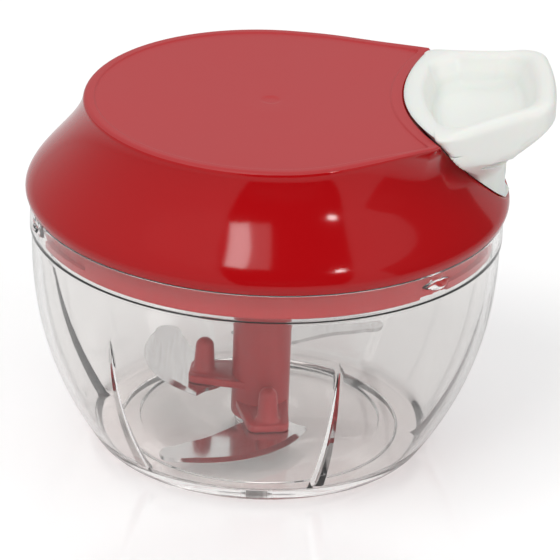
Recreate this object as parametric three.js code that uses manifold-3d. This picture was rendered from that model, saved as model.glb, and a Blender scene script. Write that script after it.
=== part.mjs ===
// Pull-cord food chopper: a clear bowl, a red twist-on lid that holds a cord reel with a
// recoil spring and a pawl clutch, a white pull handle that docks in a notch of the lid,
// and a three-blade hub that runs on a steel pin in the middle of the bowl.
// Millimetres, +Z up. The origin is on the table, under the middle of the bowl.
// The handle is pulled along +X.

import * as THREE from 'three';
import { mergeVertices } from 'three/addons/utils/BufferGeometryUtils.js';
import Module from 'manifold-3d';

const wasm = await Module();
wasm.setup();

// Facet counts and tolerances
const ringSegments = 48;
const lidSegments = 64;
const reelSegments = 32;
const smallSegments = 16;
const tinySegments = 12;
const loopSteps = 24;
const curveSteps = 8;
const roundSteps = 4;
const weld = 0.0001;
const overrun = 1;

// Clearances
const seatGap = 0.3;
const runGap = 0.2;
const fitGap = 0.1;

// Bowl
const footRadius = 42.1;
const footFlare = 0.5;
const rimRadius = 61.2;
const bandProud = 1;
const rimTop = 66.2;
const bandHeight = 8;
const bowlWall = 2.2;
const floorThickness = 2.4;
const footRecess = 1.8;
const footRingWidth = 5.8;
const floorStepInset = 10.5;
const floorStepHeight = 0.6;
const bellyCurveShare = 2.35;
const bellyStepShare = 1.4;
const footFillet = 0.8;
const spindleBossRadius = 6;
const spindleBossRise = 0.8;

// Crushing ribs inside the bowl
const ribCount = 6;
const ribFirstAngle = -70.5;
const ribTopDrop = 12.2;
const ribDepth = 2.3;
const ribHalfWidth = 2.2;
const ribTopHalfWidth = 0.25;
const ribSteps = 8;

// Bayonet: nubs on the bowl rim, grooves in the lid's inner skirt
const nubCount = 3;
const nubFirstAngle = -44;
const nubArc = 8;
const nubDepth = 1.3;
const nubDrop = 4.6;
const nubHeight = 2;
const lockArc = 20;
const grooveSideArc = 0.8;
const lugHalfLength = 3.2;
const lugHalfHeight = 1.4;
const lugProud = 0.7;

// Spindle pin
const pinRadius = 2.5;
const pinTop = 24;
const pinSink = 3.4;

// Blade hub
const hubRadius = 7.6;
const hubTopGap = 0.6;
const hubEdge = 0.8;
const boreHeadroom = 1.7;
const armThickness = 2;
const armFirstTop = 10.2;
const armStep = 6;
const armAngles = [-82, -185, -277];
const armRootHalfWidth = 7.2;
const armEndHalfWidth = 5.5;
const armEndReach = 3.8;
const armCorner = 2.5;
const pegReach = 15;
const pegRadius = 2.75;
const pegTopRadius = 2.4;
const pegHeight = 9;
const stakeRadius = 1.6;
const stakeHeadRadius = 3;
const stakeHeadHeight = 0.9;

// Blades, drawn with the peg straight out along +X
const bladeThickness = 1;
const bladeBevel = 1.6;
const bladeTipGap = 1.9;
const bladeTipAngle = -40.8;
const bladeNoseRadius = 3.5;
const bladeNoseAngle = -20;
const bladeNoseTurn = -170;
const bladeTailX = 15.8;
const bladeTailY = 10.3;
const bladeEdgeRadius = 29.5;
const bladeHeelX = 13.3;
const bladeHeelY = -7.6;
const bladeRootX = 9.3;
const bladeBackX = 14;
const bladeBackY = 7.4;
const bladeBellyX = 20.4;
const bladeBellyY = -16.8;

// Drive socket in the hub and the dog that drops into it
const socketRadius = 5.6;
const socketDepth = 5.9;
const keyCount = 3;
const keyReach = 2;
const keyWidth = 2.2;
const keyLedge = 1;
const dogCoreRadius = 3;
const dogWingReach = 5.2;
const dogWingWidth = 2.2;
const dogBottomGap = 0.5;

// Lid housing
const skirtLift = 0.25;
const skirtOverhang = 0.9;
const bulgeProud = 0.4;
const bulgeLift = 2.35;
const bulgeRise = 4.7;
const waistDraw = 12.7;
const waistDrop = 10;
const crownDraw = 1.6;
const crownRound = 1.5;
const lidHeadroom = 6.875;
const beadWidth = 3;
const panelRecess = 0.5;
const lidWall = 2.1;
const innerDropShare = 0.3;
const innerCrownShare = 1.6;
const skirtWall = 1.8;
const wingAngle = 66;
const wingDrop = 10;
const wingRise = 0.8;

// Notch for the handle
const notchDepth = 14.2;
const notchTipLift = 2.55;
const notchBend = 60;
const notchHalfSpan = 60;
const notchSteps = 24;
const cornerAngle = 38.5;

// Pull handle
const gripReach = 11.6;
const handleRise = 2;
const handleTopSlope = 0.2;
const gripRootRun = 8.5;
const gripRootNarrowing = 16.8;
const handleTaper = 0.56;
const handleFlare = 182;
const handleCorner = 8;
const handleRootCorner = 1;
const handleEndBulge = 0.8;
const handleRim = 5.6;
const handleEdge = 1;
const dishDepth = 7.6;
const dishDraft = 2;
const dishFloorRound = 1.6;
const dishCorner = 7;
const gripDrop = 3;
const gripUndersideSlope = 0.08;
const gripShoulder = 3;
const keelSetback = 1.5;
const keelCorner = 8;
const keelNose = 1.2;
const keelStations = 7;
const keelShare = 0.62;
const keelTopShare = 0.86;

// Lid base: plate, inner skirt, well for the clutch
const plateThickness = 2;
const innerSkirtWall = 3;
const innerSkirtReach = 7;
const innerSkirtGap = 0.4;
const wellRadius = 23;
const wellWall = 2;
const wellDepth = 7.2;
const wellFloor = 2;
const plateRibCount = 6;
const plateRibHeight = 3;
const plateRibThickness = 1.4;

// Seal between bowl rim and lid plate
const sealHeight = 2;
const sealGap = 0.3;

// Screws that hold the lid base to the housing
const screwAngles = [55, 125, 235, 305];
const screwInset = 6.2;
const screwRadius = 1.5;
const screwHeadRadius = 3;
const screwHeadHeight = 2;
const screwLength = 12;
const screwRecess = 1.1;
const screwBossRadius = 3.8;

// Axle, reel and cord
const axleRadius = 3;
const axleBottomGap = 1;
const axleBossRadius = 6;
const cordRadius = 1;
const cordPitch = 2.6;
const cordTurns = 4.25;
const cordWindRadius = 23;
const reelLift = 0.675;
const cordSides = 6;
const drumWall = 3.2;
const flangeRadius = 28;
const flangeThickness = 1.2;
const flangeEase = 0.4;
const springCupRadius = 18;
const springCupFloor = 2;
const coverThickness = 1.4;
const anchorLength = 3;

// Recoil spring
const springTurns = 6;
const springStrip = 0.5;
const springHeight = 7.6;

// Ratchet ring under the reel, pawls on the drive hub
const ratchetOuter = 21;
const ratchetRoot = 19.2;
const ratchetTip = 17.2;
const ratchetTeeth = 12;
const ratchetHeight = 4.6;
const driveDiscRadius = 16;
const driveDisc = 2.4;
const washerThickness = 0.5;
const washerRadius = 9;
const driveShaftRadius = 5.5;
const driveSleeveRadius = 5;
const pawlCount = 2;
const pawlPivotReach = 11;
const pawlPivotAngle = 90;
const pawlPinRadius = 1.6;
const pawlEyeRadius = 3;
const pawlThickness = 3.4;
const pawlTooth = 2;
const pawlTipEase = 1;
const pawlBacklash = 6;
const pawlFaceHeight = 2.2;

// Cord guide, handle knot and plug
const guideBossRadius = 5.4;
const guideBossLength = 9.1;
const eyeletRadius = 3;
const eyeletBore = 1.7;
const eyeletFlangeRadius = 4.4;
const eyeletFlange = 1.2;
const eyeletLength = 5;
const leadBend = 4;
const knotRadius = 2.6;
const knotPocketRadius = 4;
const handleCordBore = 1.5;
const plugThickness = 1.6;

// Places worked out from the sizes above
const bowlStartRadius = footRadius + footFlare;
const floorStepRadius = footRadius - floorStepInset;
const bellyRadius = rimRadius - bandProud;
const rimInner = rimRadius - bowlWall;
const rimBottom = rimTop - bandHeight;
const ribTop = rimBottom - ribTopDrop;
const nubBottom = rimTop - nubDrop;
const floorTop = footRecess + floorThickness;
const plateBottom = rimTop + sealHeight;
const plateTop = plateBottom + plateThickness;
const wellFloorBottom = plateBottom - wellDepth;
const wellTop = wellFloorBottom + wellFloor;
const innerSkirtBottom = rimTop - innerSkirtReach;
const innerSkirtRadius = rimInner - innerSkirtGap;
const hubBottom = floorTop + spindleBossRise + seatGap;
const hubTop = wellFloorBottom - hubTopGap;
const hubBoreDepth = pinTop + boreHeadroom - hubBottom;
const socketBottom = hubTop - socketDepth;
const discBottom = wellTop + washerThickness + runGap;
const discTop = discBottom + driveDisc;
const groove = cordPitch * cordTurns + 2 * (cordRadius + flangeEase);
const flangeBottom = plateTop + reelLift;
const cordHeight = flangeBottom + flangeThickness + groove / 2;
const flangeTop = cordHeight + groove / 2 + flangeThickness;
const drumRadius = cordWindRadius - cordRadius - runGap;
const springCupBottom = flangeBottom + springCupFloor;
const coverBottom = flangeTop - coverThickness;
const toothAngle = 360 / ratchetTeeth;
const lidTop = flangeTop + lidHeadroom;
const crownHeight = lidTop - crownRound;
const waistHeight = crownHeight - waistDrop;
const wingStart = lidTop - wingDrop;
const skirtBottom = rimTop + skirtLift;
const skirtRadius = rimRadius + skirtOverhang;
const skirtInner = skirtRadius - skirtWall;
const bulgeHeight = skirtBottom + bulgeLift;
const bulgeRadius = skirtRadius + bulgeProud;
const waistRadius = bulgeRadius - waistDraw;
const crownRadius = waistRadius - crownDraw;
const axleBottom = discBottom + axleBottomGap;
const axleTop = crownHeight - runGap;
const screwCircle = crownRadius - screwInset;
const screwHeadBottom = plateBottom + screwRecess - screwHeadHeight;
const notchFace = crownRadius - notchDepth;
const notchTip = skirtBottom + notchTipLift;
const notchSlope = (bulgeRadius - notchFace) / (lidTop - notchTip);
const notchWallShift = lidWall * Math.hypot(1, notchSlope);
const handleTop = lidTop + handleRise;
const handleSlopeStart = notchFace + gripRootRun;
const handleRootHalfWidth = crownRadius - gripRootNarrowing;
const gripUnderside = lidTop - gripDrop;
const keelOuter = bulgeRadius - keelSetback;
const handleEnd = keelOuter + gripReach;
const guideBossStart = notchFace + (lidTop - cordHeight) * notchSlope - guideBossLength;

const rad = (degrees) => THREE.MathUtils.degToRad(degrees);
const polar = (radius, degrees) => [radius * Math.cos(rad(degrees)), radius * Math.sin(rad(degrees))];

// Shape tools

// A closed geometry as a solid: seams merged, collapsed faces dropped, faces pointing out.
function solid(geometry) {
  const bare = geometry.index ? geometry.toNonIndexed() : geometry.clone();
  bare.deleteAttribute('normal');
  bare.deleteAttribute('uv');
  const merged = mergeVertices(bare, weld);
  const places = merged.attributes.position;
  const corner = (index) => new THREE.Vector3().fromBufferAttribute(places, index);
  const faces = [];
  let volume = 0;
  for (let i = 0; i < merged.index.count; i += 3) {
    const [a, b, c] = [0, 1, 2].map((k) => merged.index.getX(i + k));
    if (a === b || b === c || c === a) continue;
    faces.push([a, b, c]);
    volume += corner(a).dot(corner(b).cross(corner(c)));
  }
  const triangles = faces.flatMap(([a, b, c]) => (volume < 0 ? [a, c, b] : [a, b, c]));
  return new wasm.Manifold(new wasm.Mesh({
    numProp: 3,
    vertProperties: new Float32Array(places.array),
    triVerts: new Uint32Array(triangles),
  }));
}

function join(...solids) {
  return solids.reduce((whole, next) => whole.add(next));
}

// A ring or disc turned about the Z axis from [radius, height] points.
function revolve(points, segments = ringSegments) {
  const profile = points.map(([radius, height]) => new THREE.Vector2(Math.max(radius, 0), height));
  if (profile[0].x > 0) profile.push(profile[0].clone());
  return solid(new THREE.LatheGeometry(profile, segments).rotateX(Math.PI / 2));
}

function tube(inner, outer, bottom, top, segments = ringSegments) {
  return revolve([[inner, bottom], [outer, bottom], [outer, top], [inner, top]], segments);
}

function disc(radius, bottom, top, segments = ringSegments) {
  return revolve([[0, bottom], [radius, bottom], [radius, top], [0, top]], segments);
}

// A flat outline, with any holes, raised from one height to another.
function raise(points, bottom, top, holes = []) {
  const shape = new THREE.Shape(points.map(([x, y]) => new THREE.Vector2(x, y)));
  shape.holes = holes.map((hole) => new THREE.Path(hole.map(([x, y]) => new THREE.Vector2(x, y))));
  const block = new THREE.ExtrudeGeometry(shape, { depth: top - bottom, bevelEnabled: false });
  return solid(block.translate(0, 0, bottom));
}

function circle(radius, segments = smallSegments, x = 0, y = 0) {
  return Array.from({ length: segments }, (_, i) => {
    const [dx, dy] = polar(radius, (360 * i) / segments);
    return [x + dx, y + dy];
  });
}

function arc(radius, from, to, steps, x = 0, y = 0) {
  return Array.from({ length: steps + 1 }, (_, i) => {
    const [dx, dy] = polar(radius, from + ((to - from) * i) / steps);
    return [x + dx, y + dy];
  });
}

// A piece of a ring between two angles.
function sector(inner, outer, bottom, top, from, to) {
  const near = arc(inner, from, to, curveSteps);
  const far = arc(outer, from, to, curveSteps).reverse();
  return raise([...near, ...far], bottom, top);
}

// A solid through rings with equal numbers of points, closed by a fan at each end.
function loft(rings) {
  const count = rings[0].length;
  const places = rings.flat().flat();
  const faces = [];
  for (let r = 0; r + 1 < rings.length; r += 1) {
    for (let i = 0; i < count; i += 1) {
      const a = r * count + i;
      const b = r * count + ((i + 1) % count);
      faces.push(a, b, b + count, a, b + count, a + count);
    }
  }
  [0, rings.length - 1].forEach((r) => {
    const middle = [0, 1, 2].map((k) => rings[r].reduce((sum, point) => sum + point[k], 0) / count);
    const hub = places.length / 3;
    places.push(...middle);
    for (let i = 0; i < count; i += 1) {
      const a = r * count + i;
      const b = r * count + ((i + 1) % count);
      faces.push(...(r === 0 ? [hub, b, a] : [hub, a, b]));
    }
  });
  const geometry = new THREE.BufferGeometry();
  geometry.setAttribute('position', new THREE.Float32BufferAttribute(places, 3));
  geometry.setIndex(faces);
  return solid(geometry);
}

// A round bar along +X from one x to another, at a height.
function barX(radius, from, to, height, segments = smallSegments) {
  const bar = new THREE.CylinderGeometry(radius, radius, to - from, segments);
  return solid(bar.rotateZ(Math.PI / 2).translate((from + to) / 2, 0, height));
}

function turned(shape, degrees) {
  return shape.rotate([0, 0, degrees]);
}

// Bowl

function bowlOuterRadius(height) {
  const share = Math.min(height / rimBottom, 1);
  return bowlStartRadius + (bellyRadius - bowlStartRadius) * (1 - (1 - share) ** bellyCurveShare);
}

function bowlInnerRadius(height) {
  return bowlOuterRadius(height) - bowlWall;
}

function makeBowl() {
  const outer = [];
  const inner = [];
  for (let i = 0; i <= curveSteps; i += 1) {
    const share = (i / curveSteps) ** bellyStepShare;
    const height = footFillet + (rimBottom - footFillet) * share;
    outer.push([bowlOuterRadius(height), height]);
    const innerHeight = floorTop + (rimBottom - floorTop) * share;
    inner.push([bowlInnerRadius(innerHeight), innerHeight]);
  }
  const rim = [
    [rimRadius, rimBottom],
    [rimRadius, rimTop],
    [rimInner, rimTop],
    [rimInner, rimBottom + bowlWall / 5],
  ];
  const footInner = footRadius - footRingWidth;
  const shell = revolve([
    [0, 0], [spindleBossRadius, 0], [spindleBossRadius, footRecess],
    [footInner, footRecess], [footInner, 0], [footRadius, 0],
    ...outer, ...rim, ...inner.reverse(),
    [floorStepRadius, floorTop], [floorStepRadius - floorStepHeight, floorTop - floorStepHeight],
    [spindleBossRadius, floorTop - floorStepHeight], [spindleBossRadius - fitGap, floorTop + spindleBossRise],
    [0, floorTop + spindleBossRise],
  ]);
  let bowl = shell.subtract(disc(pinRadius + fitGap, pinSink - pinRadius, hubTop, smallSegments));
  for (let i = 0; i < ribCount; i += 1) {
    bowl = bowl.add(turned(bowlRib(), ribFirstAngle + (360 * i) / ribCount));
  }
  for (let i = 0; i < nubCount; i += 1) {
    const angle = nubFirstAngle + (360 * i) / nubCount;
    const nubTop = nubBottom + nubHeight;
    const nubRoot = rimInner + bowlWall / 2;
    const nub = sector(rimInner - nubDepth, nubRoot, nubBottom, nubTop, -nubArc / 2, nubArc / 2);
    const lug = new THREE.SphereGeometry(1, tinySegments, tinySegments / 2);
    lug.scale(lugProud * 2, lugHalfLength, lugHalfHeight);
    lug.translate(rimRadius - lugProud, 0, nubBottom + nubHeight / 2);
    bowl = bowl.add(turned(join(nub, solid(lug)), angle));
  }
  return bowl;
}

// One crushing rib: a V that grows out of the wall towards the floor.
function bowlRib() {
  const rings = [];
  for (let i = 0; i <= ribSteps; i += 1) {
    const share = i / ribSteps;
    const height = floorTop - floorStepHeight + (ribTop - floorTop + floorStepHeight) * share;
    const wall = bowlInnerRadius(Math.max(height, floorTop));
    const half = ribHalfWidth + (ribTopHalfWidth - ribHalfWidth) * share;
    const crest = wall - ribDepth * (1 - share) + (fitGap * share);
    const root = wall + bowlWall / 2;
    rings.push([[root, -half, height], [crest, 0, height], [root, half, height]]);
  }
  return loft(rings);
}

function makeSpindlePin() {
  const bottom = pinSink - pinRadius + fitGap;
  const dome = arc(pinRadius, 0, 90, roundSteps, 0, pinTop - pinRadius);
  dome[roundSteps][0] = 0;
  return revolve([[0, bottom], [pinRadius, bottom], ...dome], smallSegments);
}

// Blade hub and blades

function armTop(index) {
  return armFirstTop + armStep * index;
}

function hubArm(index) {
  const top = armTop(index);
  const bottom = top - armThickness;
  const cornerX = pegReach + armEndReach - armCorner;
  const cornerY = armEndHalfWidth - armCorner;
  const right = arc(armCorner, -90, 0, roundSteps, cornerX, -cornerY);
  const left = arc(armCorner, 0, 90, roundSteps, cornerX, cornerY);
  const arm = raise([[0, -armRootHalfWidth], ...right, ...left, [0, armRootHalfWidth]], bottom, top);
  const dome = arc(pegTopRadius, 0, 90, roundSteps, 0, top + pegHeight - pegTopRadius);
  dome[roundSteps][0] = 0;
  const headTop = bottom - bladeThickness - 2 * fitGap;
  const headBottom = headTop - stakeHeadHeight;
  const peg = revolve([
    [0, headBottom], [stakeHeadRadius - stakeHeadHeight / 2, headBottom],
    [stakeHeadRadius, headBottom + stakeHeadHeight / 2], [stakeHeadRadius, headTop],
    [stakeRadius, headTop], [stakeRadius, bottom + fitGap], [pegRadius, bottom + fitGap],
    [pegRadius, top], ...dome,
  ], smallSegments);
  return turned(join(arm, peg.translate([pegReach, 0, 0])), armAngles[index]);
}

function makeBladeHub() {
  let hub = revolve([
    [0, hubBottom], [hubRadius - hubEdge, hubBottom], [hubRadius, hubBottom + hubEdge],
    [hubRadius, hubTop - hubEdge / 2], [hubRadius - hubEdge / 2, hubTop], [0, hubTop],
  ], reelSegments);
  for (let i = 0; i < 3; i += 1) hub = hub.add(hubArm(i));
  hub = hub.subtract(disc(pinRadius + runGap, hubBottom - overrun, hubBottom + hubBoreDepth, smallSegments));
  hub = hub.subtract(disc(socketRadius, socketBottom, hubTop + overrun, reelSegments));
  for (let i = 0; i < keyCount; i += 1) {
    const inner = socketRadius - keyReach;
    const outer = socketRadius + (hubRadius - socketRadius) / 2;
    const half = keyWidth / 2;
    const plan = [[inner, -half], [outer, -half], [outer, half], [inner, half]];
    hub = hub.add(turned(raise(plan, socketBottom - fitGap, hubTop - keyLedge), (360 * (i + 0.5)) / keyCount));
  }
  return hub;
}

// The plan outline of a blade. The cutting edge is one arc from the tail to the rounded nose,
// drawn in by the bevel on the underside.
function bladeOutline(inset) {
  const lowestBlade = armFirstTop - armThickness - bladeThickness;
  const tipReach = bowlInnerRadius(lowestBlade) - ribDepth - bladeTipGap;
  const [bladeTipX, bladeTipY] = polar(tipReach, bladeTipAngle);
  const chord = Math.hypot(bladeTipX - bladeTailX, bladeTipY - bladeTailY);
  const rise = Math.sqrt(bladeEdgeRadius ** 2 - (chord / 2) ** 2);
  const [ux, uy] = [(bladeTipX - bladeTailX) / chord, (bladeTipY - bladeTailY) / chord];
  const centreX = (bladeTipX + bladeTailX) / 2 + uy * rise;
  const centreY = (bladeTipY + bladeTailY) / 2 - ux * rise;
  const angleOf = (x, y) => THREE.MathUtils.radToDeg(Math.atan2(y - centreY, x - centreX));
  const from = angleOf(bladeTailX, bladeTailY);
  const to = angleOf(bladeTipX, bladeTipY);
  const edge = arc(bladeEdgeRadius, from, to, curveSteps, centreX, centreY).map(([x, y], i) => {
    const share = Math.sin((Math.PI * i) / curveSteps);
    const scale = 1 - (inset * share) / bladeEdgeRadius;
    return [centreX + (x - centreX) * scale, centreY + (y - centreY) * scale];
  });
  const [noseX, noseY] = polar(bladeNoseRadius, bladeNoseAngle + 180);
  const nose = arc(
    bladeNoseRadius, bladeNoseAngle, bladeNoseAngle + bladeNoseTurn, curveSteps,
    bladeTipX + noseX, bladeTipY + noseY,
  );
  return [
    ...edge,
    ...nose.slice(1),
    [bladeBellyX, bladeBellyY],
    [bladeHeelX, bladeHeelY],
    [bladeRootX, 0],
    [bladeBackX, bladeBackY],
  ];
}

function makeBlade(index) {
  const top = armTop(index) - armThickness - fitGap;
  const bottom = top - bladeThickness;
  const lower = bladeOutline(bladeBevel).map(([x, y]) => [x, y, bottom]);
  const middle = bladeOutline(0).map(([x, y]) => [x, y, top - bladeThickness / 3]);
  const upper = bladeOutline(0).map(([x, y]) => [x, y, top]);
  const hole = disc(stakeRadius + fitGap, bottom - overrun, top + overrun, smallSegments);
  const blade = loft([lower, middle, upper]).subtract(hole.translate([pegReach, 0, 0]));
  return turned(blade, armAngles[index]);
}

// Lid housing

// How far the top edge flares out to the sharp corner beside the handle.
function wingFlare(degrees) {
  const off = Math.abs(((degrees + 540) % 360) - 180);
  if (off >= wingAngle) return 0;
  const lean = wingAngle - Math.max(off, cornerAngle);
  return crownRadius * (1 / Math.cos(rad(lean)) - 1);
}

function lidProfile() {
  const curve = new THREE.CubicBezierCurve(
    new THREE.Vector2(bulgeRadius, bulgeHeight),
    new THREE.Vector2(bulgeRadius, bulgeHeight + bulgeRise),
    new THREE.Vector2(waistRadius, waistHeight),
    new THREE.Vector2(crownRadius, crownHeight),
  );
  return curve.getPoints(curveSteps).map((point) => [point.x, point.y]);
}

function lidOuterRings() {
  const crown = arc(crownRound, 0, 90, 3, crownRadius - crownRound, crownHeight).slice(1);
  const profile = [[skirtRadius, skirtBottom], ...lidProfile(), ...crown];
  return profile.map(([radius, height]) => {
    const share = Math.max(0, (height - wingStart) / (lidTop - wingStart)) ** 2;
    return Array.from({ length: lidSegments }, (_, i) => {
      const degrees = (360 * i) / lidSegments;
      const flare = wingFlare(degrees);
      const rise = wingRise * (flare / wingFlare(cornerAngle)) * share;
      const [x, y] = polar(radius + flare * share, degrees);
      return [x, y, height + rise];
    });
  });
}

// The block in front of the notch surface, or behind it. The surface leans back from the
// lid's top face to the tip on the skirt and is bowed in plan.
function notchBlock(shift, front) {
  const top = lidTop + notchBend;
  const bottom = rimBottom;
  const end = front ? handleEnd + overrun : -handleEnd;
  const faceAt = (y, height) => notchFace + shift + (lidTop - height) * notchSlope + y ** 2 / (2 * notchBend);
  const rings = Array.from({ length: notchSteps + 1 }, (_, i) => {
    const y = -notchHalfSpan + (2 * notchHalfSpan * i) / notchSteps;
    return [[faceAt(y, bottom), y, bottom], [end, y, bottom], [end, y, top], [faceAt(y, top), y, top]];
  });
  const reach = front ? Math.max : Math.min;
  return loft(rings.map((ring) => ring.map(([x, y, z]) => [reach(x, front ? -handleEnd * 2 : x), y, z])));
}

function makeLidHousing() {
  const outer = loft(lidOuterRings());
  const inner = lidProfile().map(([radius, height]) => [radius - lidWall, height - lidWall * innerDropShare]);
  const ceiling = lidTop - panelRecess - lidWall;
  const cavity = revolve([
    [0, skirtBottom - overrun], [skirtInner, skirtBottom - overrun], [skirtInner, plateTop],
    ...inner.filter(([, height]) => height > plateTop + overrun && height < ceiling - overrun),
    [crownRadius - lidWall * innerCrownShare, ceiling], [0, ceiling],
  ]);
  const panel = loft([0, panelRecess + overrun].map((raiseBy) => {
    const count = ringSegments;
    return Array.from({ length: count }, (_, i) => {
      const degrees = (360 * i) / count;
      const [x, y] = polar(crownRadius + wingFlare(degrees) - beadWidth, degrees);
      return [x, y, lidTop - panelRecess + raiseBy];
    });
  })).subtract(notchBlock(-beadWidth, true));
  let housing = outer.subtract(cavity.subtract(notchBlock(-notchWallShift, true)));
  screwAngles.forEach((angle) => {
    const [x, y] = polar(screwCircle, angle);
    const boss = disc(screwBossRadius, plateTop + seatGap, ceiling + fitGap, smallSegments);
    const pilotTop = screwHeadBottom + screwHeadHeight + screwLength + fitGap;
    const pilot = disc(screwRadius + fitGap, plateTop, pilotTop, smallSegments);
    housing = housing.add(boss.translate([x, y, 0])).subtract(pilot.translate([x, y, 0]));
  });
  const axleBoss = disc(axleBossRadius, flangeTop + seatGap, ceiling + fitGap, smallSegments);
  const axleHole = disc(axleRadius + fitGap, flangeTop, axleTop + fitGap, smallSegments);
  const guideBoss = barX(guideBossRadius, guideBossStart, keelOuter, cordHeight);
  const guideHole = barX(eyeletRadius + fitGap, guideBossStart - overrun, keelOuter + overrun, cordHeight);
  return housing.add(axleBoss).subtract(axleHole).add(guideBoss).subtract(guideHole)
    .subtract(notchBlock(0, true)).subtract(panel);
}

// Pull handle

function gripHalfWidth(x) {
  const out = x - handleSlopeStart;
  return handleRootHalfWidth - handleTaper * out + out ** 2 / handleFlare;
}

// A closed outline across the handle: a bowed root, two sides and a rounded outer end.
function handleRing({ root, end, corner, rootCorner, width, height, bulge }) {
  const bowAt = (y) => y ** 2 / (2 * notchBend);
  let rootHalf = width(root);
  for (let i = 0; i < curveSteps; i += 1) rootHalf = width(root + bowAt(rootHalf) + rootCorner);
  const half = [];
  for (let i = 0; i < roundSteps; i += 1) {
    const y = ((rootHalf - rootCorner) * i) / roundSteps;
    half.push([root + bowAt(y), y]);
  }
  const cornerX = root + bowAt(rootHalf - rootCorner) + rootCorner;
  half.push(...arc(rootCorner, 180, 90, roundSteps, cornerX, rootHalf - rootCorner));
  const sideEnd = end - corner;
  for (let i = 1; i < roundSteps; i += 1) {
    const x = cornerX + ((sideEnd - cornerX) * i) / roundSteps;
    half.push([x, width(x)]);
  }
  half.push(...arc(corner, 90, 0, roundSteps, sideEnd, width(sideEnd) - corner));
  half.push([end + bulge, 0]);
  const lower = half.map(([x, y]) => [x, -y]).slice(1, -1);
  const plan = [...lower, half[half.length - 1], ...half.slice(1, -1).reverse(), half[0]];
  return plan.map(([x, y]) => [x, y, height(x)]);
}

function gripTop(x) {
  return handleTop + (x - handleSlopeStart) * handleTopSlope;
}

// The grip's outline, drawn in and dropped from its top edge.
function gripRing(inset, drop) {
  return handleRing({
    root: notchFace + seatGap + inset,
    end: handleEnd - inset - handleEndBulge,
    corner: handleCorner - inset / 2,
    rootCorner: handleRootCorner,
    width: (x) => gripHalfWidth(x) - inset,
    height: (x) => gripTop(x) - drop,
    bulge: handleEndBulge,
  });
}

// The lower edge of the grip's side wall, which rises a little towards the outer end.
function gripSkirtRing(inset, drop) {
  return handleRing({
    root: notchFace + seatGap,
    end: handleEnd - inset - handleEndBulge,
    corner: handleCorner - inset / 2,
    rootCorner: handleRootCorner,
    width: (x) => gripHalfWidth(x) - inset,
    height: (x) => gripUnderside + Math.max(x - keelOuter, 0) * gripUndersideSlope - drop,
    bulge: handleEndBulge,
  });
}

// One level of the keel that fills the notch, from the tip at share 0 to the grip at 1.
function keelRing(share) {
  const spread = keelTopShare * share ** keelShare;
  const half = (x) => Math.max(gripHalfWidth(x) * spread, keelNose);
  const outerHalf = half(keelOuter);
  return handleRing({
    root: notchFace + seatGap,
    end: keelOuter,
    corner: Math.min(keelCorner, outerHalf / 2),
    rootCorner: Math.min(handleRootCorner, outerHalf / 2),
    width: half,
    height: () => notchTip + seatGap + (gripUnderside - gripShoulder - notchTip - seatGap) * share,
    bulge: 0,
  });
}

function dishRing(inset, drop) {
  return handleRing({
    root: notchFace + seatGap + handleRim + inset,
    end: handleEnd - handleRim - inset - handleEndBulge,
    corner: dishCorner - inset / 2,
    rootCorner: dishCorner - inset / 2,
    width: (x) => gripHalfWidth(x) - handleRim - inset,
    height: (x) => gripTop(x) - drop,
    bulge: handleEndBulge,
  });
}

function makeHandle() {
  const keel = Array.from({ length: keelStations }, (_, i) => keelRing(i / (keelStations - 1)));
  const grip = [
    gripSkirtRing(handleEdge / 2, handleEdge / 2), gripSkirtRing(0, -handleEdge / 2),
    gripRing(0, handleEdge), gripRing(handleEdge / 3, handleEdge / 3), gripRing(handleEdge, 0),
  ];
  const dish = loft([
    dishRing(dishDraft + dishFloorRound, dishDepth), dishRing(dishDraft, dishDepth - dishFloorRound),
    dishRing(handleEdge / 2, handleEdge / 2), dishRing(-handleEdge / 2, 0), dishRing(-handleEdge / 2, -overrun),
  ]);
  const pocketStart = keelOuter - plugThickness - 2 * (knotRadius + seatGap);
  const bore = barX(handleCordBore, notchFace, pocketStart + overrun, cordHeight, tinySegments);
  const pocket = barX(knotPocketRadius, pocketStart, keelOuter + overrun, cordHeight);
  const body = loft([...keel, ...grip]).subtract(notchBlock(seatGap, false));
  return body.subtract(dish).subtract(bore).subtract(pocket);
}

function makeHandlePlug() {
  return barX(knotPocketRadius - fitGap, keelOuter - plugThickness, keelOuter, cordHeight);
}

// Lid base, seal and screws

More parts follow.
